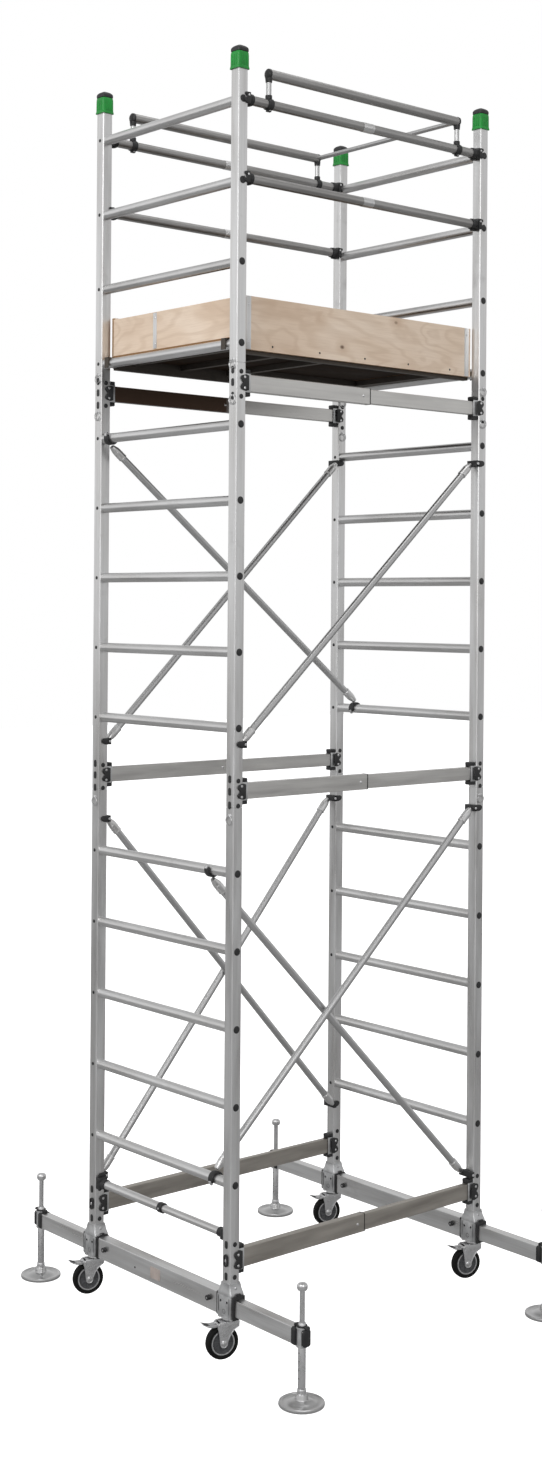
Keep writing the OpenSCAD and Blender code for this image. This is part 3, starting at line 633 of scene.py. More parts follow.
# ------------------------------------------------------------------ joint clips
def ring_clip(p, M, big=0.0165):
    """M puts +Z out of the post face and -Y down."""
    p.lathe(M, [(0.0085, -0.0005), (0.0085, 0.0012), (0.0075, 0.0018), (0.0045, 0.0020), (0.0045, 0.0050), (0.0036, 0.0060), (0, 0.0060)], 24, 1)
    pts = []
    for k in range(30):
        a = math.radians(102 + 336 * k / 29)
        pts.append((big * math.cos(a), -big + big * math.sin(a), 0.0036 + 0.0014 * k / 29))
    p.sweep(M, pts, 0.00165, 8, False, 0)


p = Piece("ring_clips", [BRIGHT, ZINC])
q0, q1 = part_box("joint_clips")
for sx, sy in CORNER:
    for z in (J1 - 0.030, J2 - 0.120, J2 + 0.012 if sy < 0 else J2 + 0.030):
        if sx < 0:
            M = T(sx * HX - HP, sy * HY, z) @ R("Z", -90) @ R("X", 90)
        else:
            M = T(sx * HX, sy * HY - HP, z) @ R("X", 90)
        ring_clip(p, M)
p.done("tower", "zinc_steel", "joint_clips")

# ------------------------------------------------------------------ side beam fittings
def slot_plug(p, M, w=0.009, h=0.024, mi=0, proud=0.0022):
    """A moulded plug in a vertical slot: M puts +Z out of the face and +Y up."""
    o = rrect(w, h, w * 0.49, 6)
    i = rrect(w - 0.003, h - 0.003, (w - 0.003) * 0.49, 6)
    p.loft(M, [(o, -0.0005), (o, proud * 0.6), (i, proud)], mi)


def face(sx, sy, which, z):
    """Matrix with +Z out of a post face and +Y up."""
    if which == "-x":
        return T(sx * HX - HP, sy * HY, z) @ R("Z", -90) @ R("X", 90)
    if which == "+x":
        return T(sx * HX + HP, sy * HY, z) @ R("Z", 90) @ R("X", 90)
    if which == "-y":
        return T(sx * HX, sy * HY - HP, z) @ R("X", 90)
    return T(sx * HX, sy * HY + HP, z) @ R("Z", 180) @ R("X", 90)


p = Piece("side_beam_fittings", [BLACK, ZINC, CAST, DARK])
for k, (sy, z, h, w) in enumerate(SB):
    for sx in (-1, 1):
        inw = -sx                      # towards the middle of the beam
        x0 = sx * (HX - HP)            # inner face of the post
        ww = w / 2 + (0.004 if sx < 0 else 0.002)
        hh = h / 2 + (0.006 if sx < 0 else 0.004)
        # moulded end shoe around the beam: two cheeks, a top and a bottom lip
        for s in (-1, 1):
            p.box(T(x0 + inw * 0.013, sy * HY + s * (ww - 0.0017), z), 0.026, 0.0034, 2 * hh - 0.002, 0.0012, 2)
            p.box(T(x0 + inw * 0.0140, sy * HY, z + s * (hh + 0.0058)), 0.0264, 0.0350, 0.0136, 0.0036, 0)
            p.box(T(x0 + inw * 0.0190, sy * HY, z + s * (hh + 0.0062)), 0.0040, 0.0370, 0.0105, 0.0012, 0)
            p.box(T(x0 + inw * 0.013, sy * HY, z + s * (hh - 0.002)), 0.026, 2 * ww, 0.004, 0.0014, 0)
        # claw that reaches past the post on both sides, open above and below
        for s in (-1, 1):
            prof = [(0.0, -h / 2), (0.022, -h / 2 + 0.006), (0.026, -h / 2 + 0.016), (0.020, -0.006), (0.014, 0.0), (0.020, 0.006), (0.026, h / 2 - 0.016), (0.022, h / 2 - 0.006), (0.0, h / 2), (-0.012, h / 2 - 0.004), (-0.012, -h / 2 + 0.004)]
            pr = [(sx * a, b) for a, b in prof]
            if sx < 0:
                pr = pr[::-1]
            Mc = T(x0, sy * HY + s * (HP + 0.0026), z) @ R("X", 90)
            p.prism(Mc, pr, -0.0024, 0.0024, 0.0010, 0)
        # locking pin with a zinc head through the claw
        for s in (-1, 1):
            Mp = T(x0 + sx * 0.009, sy * HY + s * (HP + 0.005), z + (0.022 if k % 2 else -0.022) * 0 + 0.020) @ R("X", -90 * s)
            p.lathe(Mp, [(0.0050, -0.0008), (0.0050, 0.0008), (0.0038, 0.0018), (0, 0.0020)], 20, 1)
            Mp = T(x0 + sx * 0.009, sy * HY + s * (HP + 0.005), z - 0.020) @ R("X", -90 * s)
            p.lathe(Mp, [(0.0050, -0.0008), (0.0050, 0.0008), (0.0038, 0.0018), (0, 0.0020)], 20, 1)
        # plugs and slots in the post beside the beam
        lower = z < 1.0
        if sx < 0 or True:
            for dz in ((-0.058, 0.058) if lower else (-0.050, 0.0, 0.046)):
                slot_plug(p, face(sx, sy, "-x", z + dz) if sx < 0 else face(sx, sy, "+x", z + dz), 0.015, 0.029, 0)
            if lower:
                # black pull loop on the outer face
                Mf = face(sx, sy, "-x", z) if sx < 0 else face(sx, sy, "+x", z)
                lo = rrect(0.022, 0.046, 0.0105, 6)
                li = rrect(0.010, 0.034, 0.0048, 6)
                p.ring(Mf, lo, li, 0.0, 0.0055, 0, 0.0012)
                p.loft(Mf, [(rrect(0.008, 0.012, 0.0035, 5), -0.0005), (rrect(0.008, 0.012, 0.0035, 5), 0.004), (rrect(0.006, 0.010, 0.0025, 5), 0.005)], 1)
        for dz in ((-0.060, 0.060) if lower else (-0.052, 0.040)):
            for wh in ("-y", "+y"):
                Mf = face(sx, sy, wh, z + dz)
                p.lathe(Mf, [(0.0090, -0.0005), (0.0090, 0.0012), (0.0080, 0.0022), (0.0045, 0.0028), (0, 0.0030)], 24, 0)
p.done("tower", "black_plastic", "side_beam_brackets")

# black rim where each sleeve ends and the inner beam starts, with a spring button
p = Piece("side_beam_trim", [DARK, ZINC, BLACK])
for sy, z, h, w in SB:
    p.ring(T(0.0155, sy * HY, z) @ R("Y", 90) @ R("Z", 90), rrect(w + 0.0012, h + 0.0012, 0.003, 4), rrect(w - 0.0058, h - 0.0058, 0.002, 4), -0.0030, 0.0008, 0)
    for s in (-1, 1):
        Mb = T(-0.022, sy * HY + s * w / 2, z) @ R("X", -90 * s)
        p.lathe(Mb, [(0.0055, -0.0006), (0.0055, 0.0006), (0.0042, 0.0026), (0.0018, 0.0034), (0, 0.0036)], 20, 1)
p.done("tower", "frame_aluminium")

# ------------------------------------------------------------------ braces
ix = HX - HP - 0.012
ro = RUNG_R + 0.012
BR = [((-HX, -HY + 0.128, LOWER[4] - ro), (ix, -HY + 0.036, 0.474)),
      ((-HX, -HY + 0.092, LOWER[0] + ro), (ix, -HY - 0.004, 1.985)),
      ((-ix, HY - 0.006, 1.950), (ix, HY - 0.030, 0.590)),
      ((-ix, HY + 0.016, 0.515), (ix, HY + 0.016, 1.955)),
      ((-HX, HY - 0.060, UPPER[4] - ro), (HX, HY - 0.118, UPPER[0] + ro)),
      ((-ix, HY, 2.262), (ix, HY - 0.022, 3.452)),
      ((-ix, -HY + 0.010, 2.300), (ix, -HY + 0.010, 3.405))]
p = Piece("brace_ends", [BLACK, ZINC, ALU_O])


def brace_end(p, a, b):
    a, b = Vector(a), Vector(b)
    on_rung = abs(abs(a.x) - HX) < 0.002
    M = AL(a, b)
    # ferrule around the tube end
    b0 = BRACE_R
    p.pipe(M, b0 + 0.0028, b0 + 0.0001, 0.034, 0.074, 32, 2, 0.0012)
    p.lathe(M, [(b0 + 0.0026, 0.069), (b0 + 0.0036, 0.0705), (b0 + 0.0036, 0.0735), (b0 + 0.0026, 0.075), (b0 + 0.0001, 0.075), (b0 + 0.0001, 0.069)], 32, 2, close=True)
    # neck that flattens towards the claw
    p.loft(M, [(rrect(0.0326, 0.0326, 0.0158), 0.038), (rrect(0.0310, 0.0300, 0.0130), 0.028), (rrect(0.026, 0.022, 0.009), 0.016), (rrect(0.022, 0.016, 0.006), 0.006)], 2)
    # side rivet
    for s in (-1, 1):
        p.lathe(M @ T(0, s * (b0 + 0.0028), 0.054) @ R("X", -90 * s), [(0.0042, -0.001), (0.0042, 0.0006), (0.0028, 0.0014), (0, 0.0015)], 16, 1)
    if on_rung:
        # open claw that hangs over the rung: drawn in the XZ plane around the rung axis
        d = (b - a)
        zc = min((r for r in LOWER + UPPER + [STRUT_Z]), key=lambda r: abs(r - a.z))
        up = 1 if a.z > zc else -1
        rr = (STRUT_R if abs(zc - STRUT_Z) < 0.001 else RUNG_R) + 0.0005
        Mh = T(a.x, a.y, zc) @ R("X", 90)
        outer, inner = [], []
        n = 14
        for k in range(n + 1):
            t = math.radians(-28 + 236 * k / n)
            outer.append(((rr + 0.0085) * math.cos(t), up * (rr + 0.0085) * math.sin(t)))
            inner.append(((rr + 0.0003) * math.cos(t), up * (rr + 0.0003) * math.sin(t)))
        pts = outer + inner[::-1]
        if up < 0:
            pts = pts[::-1]
        p.prism(Mh, pts, -0.0125, 0.0125, 0.0012, 0)
        # latch across the mouth
        p.box(Mh @ T(-rr - 0.0045, -up * 0.013, 0) @ R("Z", up * 35), 0.008, 0.018, 0.012, 0.0015, 1)
    else:
        # two jaws that close around the post from its inner face
        sx = 1 if a.x > 0 else -1
        sy = 1 if a.y > 0 else -1
        for s in (-1, 1):
            yj = sy * HY + s * (HP + 0.0032)
            if abs(a.y - yj) < 0.06:
                prof = [(-0.014, -0.013), (0.012, -0.013), (0.024, -0.009), (0.030, -0.002), (0.030, 0.006), (0.022, 0.012), (-0.014, 0.013)]
                pr = [(sx * u, v) for u, v in prof]
                if sx < 0:
                    pr = pr[::-1]
                p.prism(T(sx * (HX - HP), yj, a.z) @ R("X", 90), pr, -0.0028, 0.0028, 0.0010, 0)
        lo_y = min(a.y - 0.012, sy * HY - HP - 0.006)
        hi_y = max(a.y + 0.012, sy * HY + HP + 0.006)
        p.box(T(sx * (HX - HP - 0.0075), (lo_y + hi_y) / 2, a.z), 0.0145, hi_y - lo_y, 0.026, 0.0025, 0)
        p.lathe(T(sx * (HX - HP - 0.008), sy * HY - HP - 0.0055, a.z) @ R("X", 90), [(0.0058, -0.001), (0.0058, 0.0010), (0.0045, 0.0022), (0, 0.0025)], 18, 1)


for a, b in BR:
    brace_end(p, a, b)
    brace_end(p, b, a)
# strut clamps: a shoe at each post and a collar at the step
Ms = T(-HX, 0, STRUT_Z) @ R("X", 90)
p.box(T(-HX, HY - HP - 0.013, STRUT_Z), 0.040, 0.026, 0.046, 0.004, 0)
p.box(T(-HX + 0.016, HY - HP + 0.010, STRUT_Z + 0.002), 0.012, 0.066, 0.030, 0.003, 0) if False else None
p.pipe(T(-HX, HY - HP - 0.050, STRUT_Z) @ R("X", 90), STRUT_R + 0.0035, STRUT_R + 0.0001, -0.024, 0.0, 32, 0)
p.box(T(-HX, -HY + HP + 0.011, STRUT_Z), 0.038, 0.022, 0.040, 0.004, 0)
p.pipe(T(-HX, -HY + HP + 0.022, STRUT_Z) @ R("X", -90), STRUT_E + 0.0035, STRUT_E + 0.0001, 0.0, 0.020, 32, 0)
p.pipe(T(-HX, 0.004, STRUT_Z) @ R("X", 90), STRUT_R + 0.003, STRUT_E + 0.0001, 0.0, 0.024, 32, 0)
p.lathe(T(-HX - STRUT_R - 0.0028, -0.008, STRUT_Z) @ R("Y", -90), [(0.004, -0.001), (0.004, 0.001), (0.003, 0.002), (0, 0.002)], 16, 1)
p.done("tower", "black_plastic", "brace_hooks")

# ------------------------------------------------------------------ guardrail claws
p = Piece("rail_claws", [BLACK, ZINC, DARK])
for sx, sy in CORNER:
    for z in RAIL_Z:
        x0 = sx * (HX - HP)
        Mx = T(x0, sy * HY, z) @ R("Y", -90 * sx)     # +Z runs from the post along the rail
        p.pipe(Mx, RAIL_R + 0.0040, RAIL_R + 0.0001, 0.004, 0.036, 36, 0, 0.0012)
        for zz in (0.012, 0.024):
            p.torus(Mx @ T(0, 0, zz), RAIL_R + 0.0040, 0.0011, 36, 8, 0)
        p.loft(T(x0, sy * HY, z) @ R("Y", -90 * sx), [(rrect(0.050, 0.044, 0.012), 0.0004), (rrect(0.048, 0.044, 0.015), 0.006), (rrect(2 * RAIL_R + 0.0075, 2 * RAIL_R + 0.0075, RAIL_R + 0.003), 0.014)], 0)
        for s in (-1, 1):
            # hooked jaw along the side of the post
            prof = [(-0.010, -0.020), (0.006, -0.021), (0.020, -0.014), (0.024, -0.004), (0.019, 0.001), (0.013, -0.006), (0.006, -0.004), (0.006, 0.006), (0.014, 0.012), (0.012, 0.020), (-0.010, 0.021)]
            pr = [(sx * u, v) for u, v in prof]
            if sx < 0:
                pr = pr[::-1]
            p.prism(T(x0, sy * HY + s * (HP + 0.0030), z) @ R("X", 90), pr, -0.0026, 0.0026, 0.0009, 0)
            p.lathe(T(x0 - sx * 0.002, sy * HY + s * (HP + 0.0055), z + 0.010) @ R("X", -90 * s), [(0.0042, -0.001), (0.0042, 0.0008), (0.003, 0.0016), (0, 0.0017)], 16, 1)
        # release trigger under the rail
        p.prism(T(x0, sy * HY, z) @ R("X", 90), [(-sx * 0.006, -0.020), (-sx * 0.026, -0.020), (-sx * 0.030, -0.024), (-sx * 0.010, -0.0265)][:: (1 if sx < 0 else -1)], -0.006, 0.006, 0.001, 0)
p.done("tower", "black_plastic", "rail_clamps")

# sleeves in the middle of the rails
p = Piece("rail_sleeves", [ALU_X, ZINC])
for sy in (-1, 1):
    for z in RAIL_Z:
        p.pipe(T(-0.028, sy * HY, z) @ R("Y", 90), RAIL_R + 0.0012, RAIL_R - 0.0002, 0.0, 0.056, 36, 0, 0.0006)
        for dx in (-0.014, 0.014):
            p.lathe(T(dx, sy * HY - RAIL_R - 0.0010, z) @ R("X", 90), [(0.0034, -0.001), (0.0034, 0.0005), (0.0022, 0.0013), (0, 0.0014)], 14, 1)
p.done("tower", "frame_aluminium")

# ------------------------------------------------------------------ raised bars
p = Piece("raised_bar_set", [ALU_RAIL, SATIN, BLACK, SATIN])
for sy in (-1, 1):
    y = sy * HY
    p.pipe(T(-0.506, y, BAR_Z) @ R("Y", 90), BAR_R, BAR_R - 0.0020, 0.0, 1.012, 40, 0)
    for sx in (-1, 1):
        x = sx * 0.508
        # link tube, with a moulded saddle under the bar
        p.pipe(T(x, y, 0), 0.0100, 0.0082, RAIL_Z[1] + RAIL_R + 0.0010, BAR_Z - BAR_R + 0.0030, 28, 1)
        p.lathe(T(x, y, 0), [(0.0101, BAR_Z - BAR_R - 0.014), (0.0122, BAR_Z - BAR_R - 0.013), (0.0130, BAR_Z - BAR_R - 0.006), (0.0142, BAR_Z - BAR_R + 0.0045), (0.0101, BAR_Z - BAR_R + 0.0045)], 28, 2, close=True)
        # domed end plug of the bar, with a collar
        p.lathe(T(sx * 0.506, y, BAR_Z) @ R("Y", 90 * sx), [(BAR_R - 0.0021, -0.012), (BAR_R - 0.0021, 0.0002), (BAR_R + 0.0008, 0.0002), (BAR_R + 0.0010, 0.0020), (BAR_R + 0.0004, 0.0075), (BAR_R - 0.0040, 0.0112), (BAR_R - 0.0100, 0.0132), (0, 0.0138)], 40, 2)
        # split clamp on the rail
        p.pipe(T(x - 0.013, y, RAIL_Z[1]) @ R("Y", 90), RAIL_R + 0.0040, RAIL_R + 0.0002, 0.0, 0.026, 36, 2, 0.0012)
        p.cyl(T(x, y, 0), 0.0130, RAIL_Z[1] + RAIL_R + 0.0005, RAIL_Z[1] + RAIL_R + 0.0160, 0.0015, 28, 2)
        p.box(T(x, y, RAIL_Z[1] - RAIL_R - 0.0060), 0.020, 0.012, 0.008, 0.002, 2)
        p.cyl(T(x, y - 0.009, RAIL_Z[1] - RAIL_R - 0.0060) @ R("X", -90), 0.0028, 0.0, 0.018, 0.0006, 14, 1)
p.pipe(T(0.508, -HY + BAR_R - 0.003, BAR_Z) @ R("X", -90), 0.0100, 0.0084, 0.0, 2 * (HY - BAR_R) + 0.006, 32, 3)
p.done("tower", "frame_aluminium", "raised_bars")

# ------------------------------------------------------------------ base
p = Piece("beam_lips", [BLACK, ZINC])
for sx, sy in CORNER:
    M = T(sx * HX, sy * (BEAM_END + 0.004), BEAM_Z) @ R("X", 90)
    p.ring(M, rrect(0.0556, 0.0856, 0.005, 4), rrect(0.0408, 0.0608, 0.002, 4), -0.004, 0.004, 0, 0.0014)
    # small latch on top of the lip
    p.prism(T(sx * HX, sy * (BEAM_END + 0.004), BEAM_TOP) @ R("Z", 90) @ R("X", 90),
            [(-0.004, 0.001), (0.004, 0.001), (0.004, 0.008), (0.0015, 0.0118), (-0.004, 0.010)], -0.008, 0.008, 0.001, 0)
for sx, sy in CORNER:
    # band beside the foot bracket, with a clamp knob on top
    M = T(sx * HX, sy * (HY - 0.0442), BEAM_Z) @ R("X", 90)
    p.ring(M, rrect(0.0566, 0.0866, 0.005, 4), rrect(0.0503, 0.0803, 0.002, 4), -0.0048, 0.0048, 0, 0.0014)
    p.box(T(sx * HX, sy * (HY - 0.0442), BEAM_TOP + 0.0075), 0.0154, 0.0092, 0.0108, 0.0026, 0)
    p.cyl(T(sx * HX - 0.0090 + 0.0012, sy * (HY - 0.0442), BEAM_TOP + 0.0088) @ R("Y", 90), 0.0022, 0.0, 0.0156, 0.0004, 14, 1)
p.done("tower", "black_plastic", "beam_collars")

p = Piece("foot_castings", [CAST, ZINC, BLACK, DARK])
for sx, sy in CORNER:
    M = T(sx * HX, sy * HY, 0)
    # two cheeks beside the beam, joined over it by the post socket
    for s in (-1, 1):
        chk = rrect(0.078, 0.080, 0.006, 4)
        p.prism(M @ T(s * 0.0292, 0, BEAM_Z) @ R("Y", 90) @ R("Z", 90), chk, -0.0038, 0.0038, 0.0012, 0)
        for yy in (-0.030, 0.030):
            p.box(M @ T(s * 0.0315, yy, BEAM_Z + 0.006), 0.0030, 0.006, 0.060, 0.0012, 0)
        for yy in (-0.018, 0.018):
            p.hexa(M @ T(s * 0.0328, yy, BEAM_Z + 0.018) @ R("Y", 90 * s), 0.010, -0.001, 0.0002, 1)
        p.lathe(M @ T(s * 0.0330, 0, BEAM_Z - 0.018) @ R("Y", 90 * s), [(0.0085, -0.002), (0.0085, 0.0), (0.0068, 0.0), (0.0062, -0.0012), (0, -0.0012)], 24, 2)
    zb2 = BEAM_TOP
    secs = [(0.0655, 0.0775, 0.0), (0.0655, 0.0775, 0.006), (0.0625, 0.070, 0.014), (0.0572, 0.060, 0.026), (0.0548, 0.0548, 0.036), (0.0540, 0.0540, 0.040), (0.0540, 0.0540, 0.0435), (0.0525, 0.0525, 0.0440)]
    loops = [(rrect(w, d, 0.006), zb2 + h) for w, d, h in secs]
    p.loft(M, [(rrect(0.0456, 0.0456, 0.003), zb2 + 0.0005)] + [(rrect(0.0655, 0.0775, 0.006), zb2 + 0.0005)] + loops[1:] + [(rrect(0.0456, 0.0456, 0.003), zb2 + 0.0440), ], 0, caps=False)
    for s in (-1, 1):
        # webs up the socket and a clamp bolt through it
        for yy in (-0.0245, 0.0245):
            p.prism(M @ T(s * 0.0285, yy, 0) @ R("X", 90), [(-s * 0.004, zb2 + 0.004), (s * 0.0040, zb2 + 0.004), (-s * 0.0012, zb2 + 0.036), (-s * 0.004, zb2 + 0.036)][:: (1 if s > 0 else -1)], -0.0018, 0.0018, 0.0005, 0)
        p.hexa(M @ T(0, s * 0.0300, zb2 + 0.027) @ R("X", -90 * s), 0.010, -0.004, 0.0022, 1)
p.done("tower", "cast_aluminium", "foot_brackets")

# blank label and rivets on the outer faces of the base beams
p = Piece("beam_trim", [LABEL, DARK])
for s in (-1, 1):
    xf = s * (HX + BEAM_B / 2)
    p.prism(T(xf, 0.0, BEAM_Z) @ R("Y", 90 * s) @ R("Z", 90), rrect(0.062, 0.044, 0.004), -0.0002, 0.0005, 0.0, 0)
    p.lathe(T(xf, -s * 0.13, BEAM_Z - 0.010) @ R("Y", 90 * s), [(0.004, -0.0005), (0.004, 0.0006), (0.0026, 0.0013), (0, 0.0014)], 16, 1)
p.done("tower", "frame_aluminium")

p = Piece("swivel_housings", [ZINC, DARK, BRIGHT])
for sx, sy in CORNER:
    M = T(sx * HX, sy * HY, BEAM_BOT)
    p.prism(M, rrect(0.066, 0.078, 0.008), -0.005, 0.0, 0.0010, 0)
    for a in (-1, 1):
        for b in (-1, 1):
            p.hexa(M @ T(a * 0.0245, b * 0.0305, -0.0085), 0.0085, 0.0, 0.0037, 2)
    p.lathe(M, [(0, -0.0128), (0.0268, -0.0128), (0.0285, -0.0120), (0.0310, -0.0098), (0.0310, -0.0070), (0.0292, -0.0048), (0, -0.0048)], 48, 0)
    p.lathe(M, [(0.0296, -0.0126), (0.0306, -0.0122), (0.0306, -0.0106), (0.0296, -0.0102)], 48, 1, close=True)
    p.cyl(M, 0.0060, -0.0200, -0.0120, 0.0, 24, 0)
    p.hexa(M, 0.0172, -0.0250, -0.0186, 2)
p.done("tower", "zinc_steel", "caster_mounts")

# ------------------------------------------------------------------ casters
for i, (sx, sy) in enumerate(CORNER, 1):
    k = CNAME[i - 1]
    sw = Vector(JOINTS["swivel_" + k]["pos_m"])
    ax = Vector(JOINTS["spin_" + k]["pos_m"])
    pin = Vector(JOINTS["brake_" + k]["pos_m"])
    u = Vector((ax.x - sw.x, ax.y - sw.y, 0))
    trail = u.length
    yaw = math.degrees(math.atan2(u.y, u.x))
    L = T(sw.x, sw.y, BEAM_BOT) @ R("Z", yaw)
    za = ax.z - BEAM_BOT
    zp = pin.z - BEAM_BOT
    xp = math.hypot(pin.x - sw.x, pin.y - sw.y)

    p = Piece("fork_%d" % i, [ZINC, BRIGHT, DARK])
    # crown with its raised race
    p.prism(L @ T(0.009, 0, 0), rrect(0.074, 0.0478, 0.012), -0.018, -0.0142, 0.0012, 0)
    p.lathe(L, [(0.0062, -0.0180), (0.0062, -0.0136), (0.0225, -0.0134), (0.0250, -0.0142), (0.0262, -0.0152), (0.0262, -0.0180)], 40, 0, close=True)
    for s in (-1, 1):
        # pressed side plate: rounded outline, with a rolled rim and a shallow boss
        pts = []
        for (x, z) in ((-0.028, -0.0145), (0.047, -0.0145), (0.0565, -0.0185), (0.0585, -0.0245), (0.0580, -0.0310)):
            pts.append((x, z))
        pts += [(0.0545, -0.046), (0.0515, -0.062), (0.0495, -0.078)]
        for q in range(9):
            t = math.radians(10 - 200 * q / 8)
            pts.append((trail + 0.0142 * math.cos(t), za + 0.0142 * math.sin(t)))
        pts += [(0.0165, -0.080), (0.0080, -0.062), (-0.004, -0.048), (-0.017, -0.040), (-0.0265, -0.034)]
        Mp = L @ T(0, s * 0.0215, 0) @ R("X", 90)
        p.prism(Mp, pts[::-1], -0.0020, 0.0020, 0.0007, 0)
        # rim along the two long edges
        e1 = [(x, z, 0) for x, z in pts[3:8]] + [(x, z, 0) for x, z in pts[8:17]]
        e2 = [(x, z, 0) for x, z in pts[17:]]
        off = -s * 0.0016
        path = [(x, z, -s * 0.0012 * (1 if True else 0)) for x, z, _ in e1 + e2]
        p.sweep(Mp, path, 0.0017, 8, False, 0)
        p.lathe(Mp @ T(trail, za, 0) @ (R("Y", 0) if s < 0 else R("Y", 180)), [(0.0115, 0.0), (0.0115, 0.0024), (0.0100, 0.0032), (0, 0.0032)], 28, 0)
    # axle bolt: hex head on one side, nut and thread on the other
    Ma = L @ T(trail, 0, za) @ R("X", 90)
    p.cyl(Ma, 0.0050, -0.0285, 0.0255, 0.0006, 24, 1)
    p.hexa(Ma, 0.0165, 0.0240, 0.0298, 1)
    p.hexa(Ma @ R("Z", 14), 0.0165, -0.0298 + 0.0005, -0.0240, 1)
    p.pipe(Ma, 0.0098, 0.0052, 0.0232, 0.0243, 28, 1, 0.0003)
    p.pipe(Ma, 0.0098, 0.0052, -0.0243, -0.0232, 28, 1, 0.0003)
    # pedal pin with riveted heads
    Mq = L @ T(xp, 0, zp) @ R("X", 90)
    p.cyl(Mq, 0.0024, -0.0225, 0.0225, 0.0004, 18, 1)
    for s in (-1, 1):
        p.lathe(Mq @ T(0, 0, s * 0.0232) @ (I4 if s > 0 else R("X", 180)), [(0.0042, -0.001), (0.0042, 0.0004), (0.0028, 0.0014), (0, 0.0016)], 18, 1)
    p.done("caster_" + k, "zinc_steel", "caster_fork_%d" % i)

    Mw = L @ T(trail, 0, za) @ R("X", 90)
    p = Piece("tyre_%d" % i, [RUBBER])
    rw = 0.0625
    prof = [(0.0470, -0.0120), (0.0476, -0.0136), (0.0500, -0.0152), (0.0535, -0.0160), (0.0560, -0.0159), (0.0566, -0.0154), (0.0574, -0.0154), (0.0582, -0.0156),
            (0.0600, -0.0140), (0.0613, -0.0112), (0.0621, -0.0075), (0.0625, -0.0030)]
    prof = prof + [(r, -z) for r, z in prof[::-1]]
    p.lathe(Mw, prof, 72, 0, close=True)
    p.done("wheel_" + k, "black_rubber", "wheel_tyre_%d" % i)

    p = Piece("hub_%d" % i, [GREY, ZINC, DARK])
    half = [(0.0052, -0.0175), (0.0128, -0.0175), (0.0142, -0.0165), (0.0150, -0.0090), (0.0175, -0.0072), (0.0330, -0.0060), (0.0362, -0.0080), (0.0385, -0.0122), (0.0400, -0.0136),
            (0.0430, -0.0140), (0.0455, -0.0132), (0.0469, -0.0118)]
    p.lathe(Mw, half + [(r, -z) for r, z in half[::-1]], 64, 0, close=True)
    for s in (-1, 1):
        for q in range(8):
            Mr = Mw @ R("Z", 45 * q + 10) @ T(0.0255, 0, s * 0.0078)
            p.prism(Mr @ R("X", 90), [(-0.0115, -0.0030 * s), (0.0115, -0.0030 * s), (0.0115, 0.0030 * s), (-0.0115, 0.0052 * s)][:: s], -0.0014, 0.0014, 0.0005, 0)
        p.lathe(Mw @ (I4 if s > 0 else R("X", 180)), [(0.0054, 0.0176), (0.0054, 0.0180), (0.0100, 0.0180), (0.0118, 0.0174), (0.0118, 0.0160)], 32, 1)
        # bright rim ring beside the tyre
        p.lathe(Mw @ (I4 if s > 0 else R("X", 180)), [(0.0408, 0.0134), (0.0410, 0.0146), (0.0432, 0.0150), (0.0452, 0.0146), (0.0455, 0.0130)], 48, 1)
    p.done("wheel_" + k, "grey_plastic", "wheel_hub_%d" % i)

    p = Piece("pedal_%d" % i, [ZINC, BLACK])
    Mq = L @ T(xp, 0, zp) @ R("X", 90)
    p.pipe(Mq, 0.0050, 0.00262, -0.0170, 0.0170, 24, 0, 0.0005)
    # pressed lever: a channel that widens into a tread with turned-down sides
    lever = [(0.0035, 0.0022), (0.016, 0.0024), (0.030, 0.0022), (0.044, 0.0036), (0.055, 0.0074), (0.0618, 0.0106), (0.0612, 0.0082), (0.0545, 0.0048), (0.044, 0.0010), (0.030, -0.0006), (0.016, -0.0004), (0.0035, -0.0004)]
    p.prism(Mq, lever[::-1], -0.0178, 0.0178, 0.0006, 0)
    for s in (-1, 1):
        skirt = [(0.004, 0.0015), (0.004, -0.0045), (0.014, -0.0058), (0.024, -0.0056), (0.036, -0.0040), (0.048, 0.0005), (0.060, 0.0086), (0.055, 0.0066), (0.044, 0.0030), (0.030, 0.0016)]
        p.prism(Mq @ T(0, 0, s * 0.0172), skirt[::-1] if True else skirt, -0.0010, 0.0010, 0.0003, 0)
    for q in range(5):
        xx = 0.036 + q * 0.0048
        zz = 0.0026 + max(0.0, (xx - 0.036)) * 0.30
        p.box(Mq @ T(xx, zz, 0) @ R("Z", 16), 0.0020, 0.0014, 0.030, 0.0005, 1)
    p.done("brake_" + k, "zinc_steel", "brake_pedal_%d" % i)

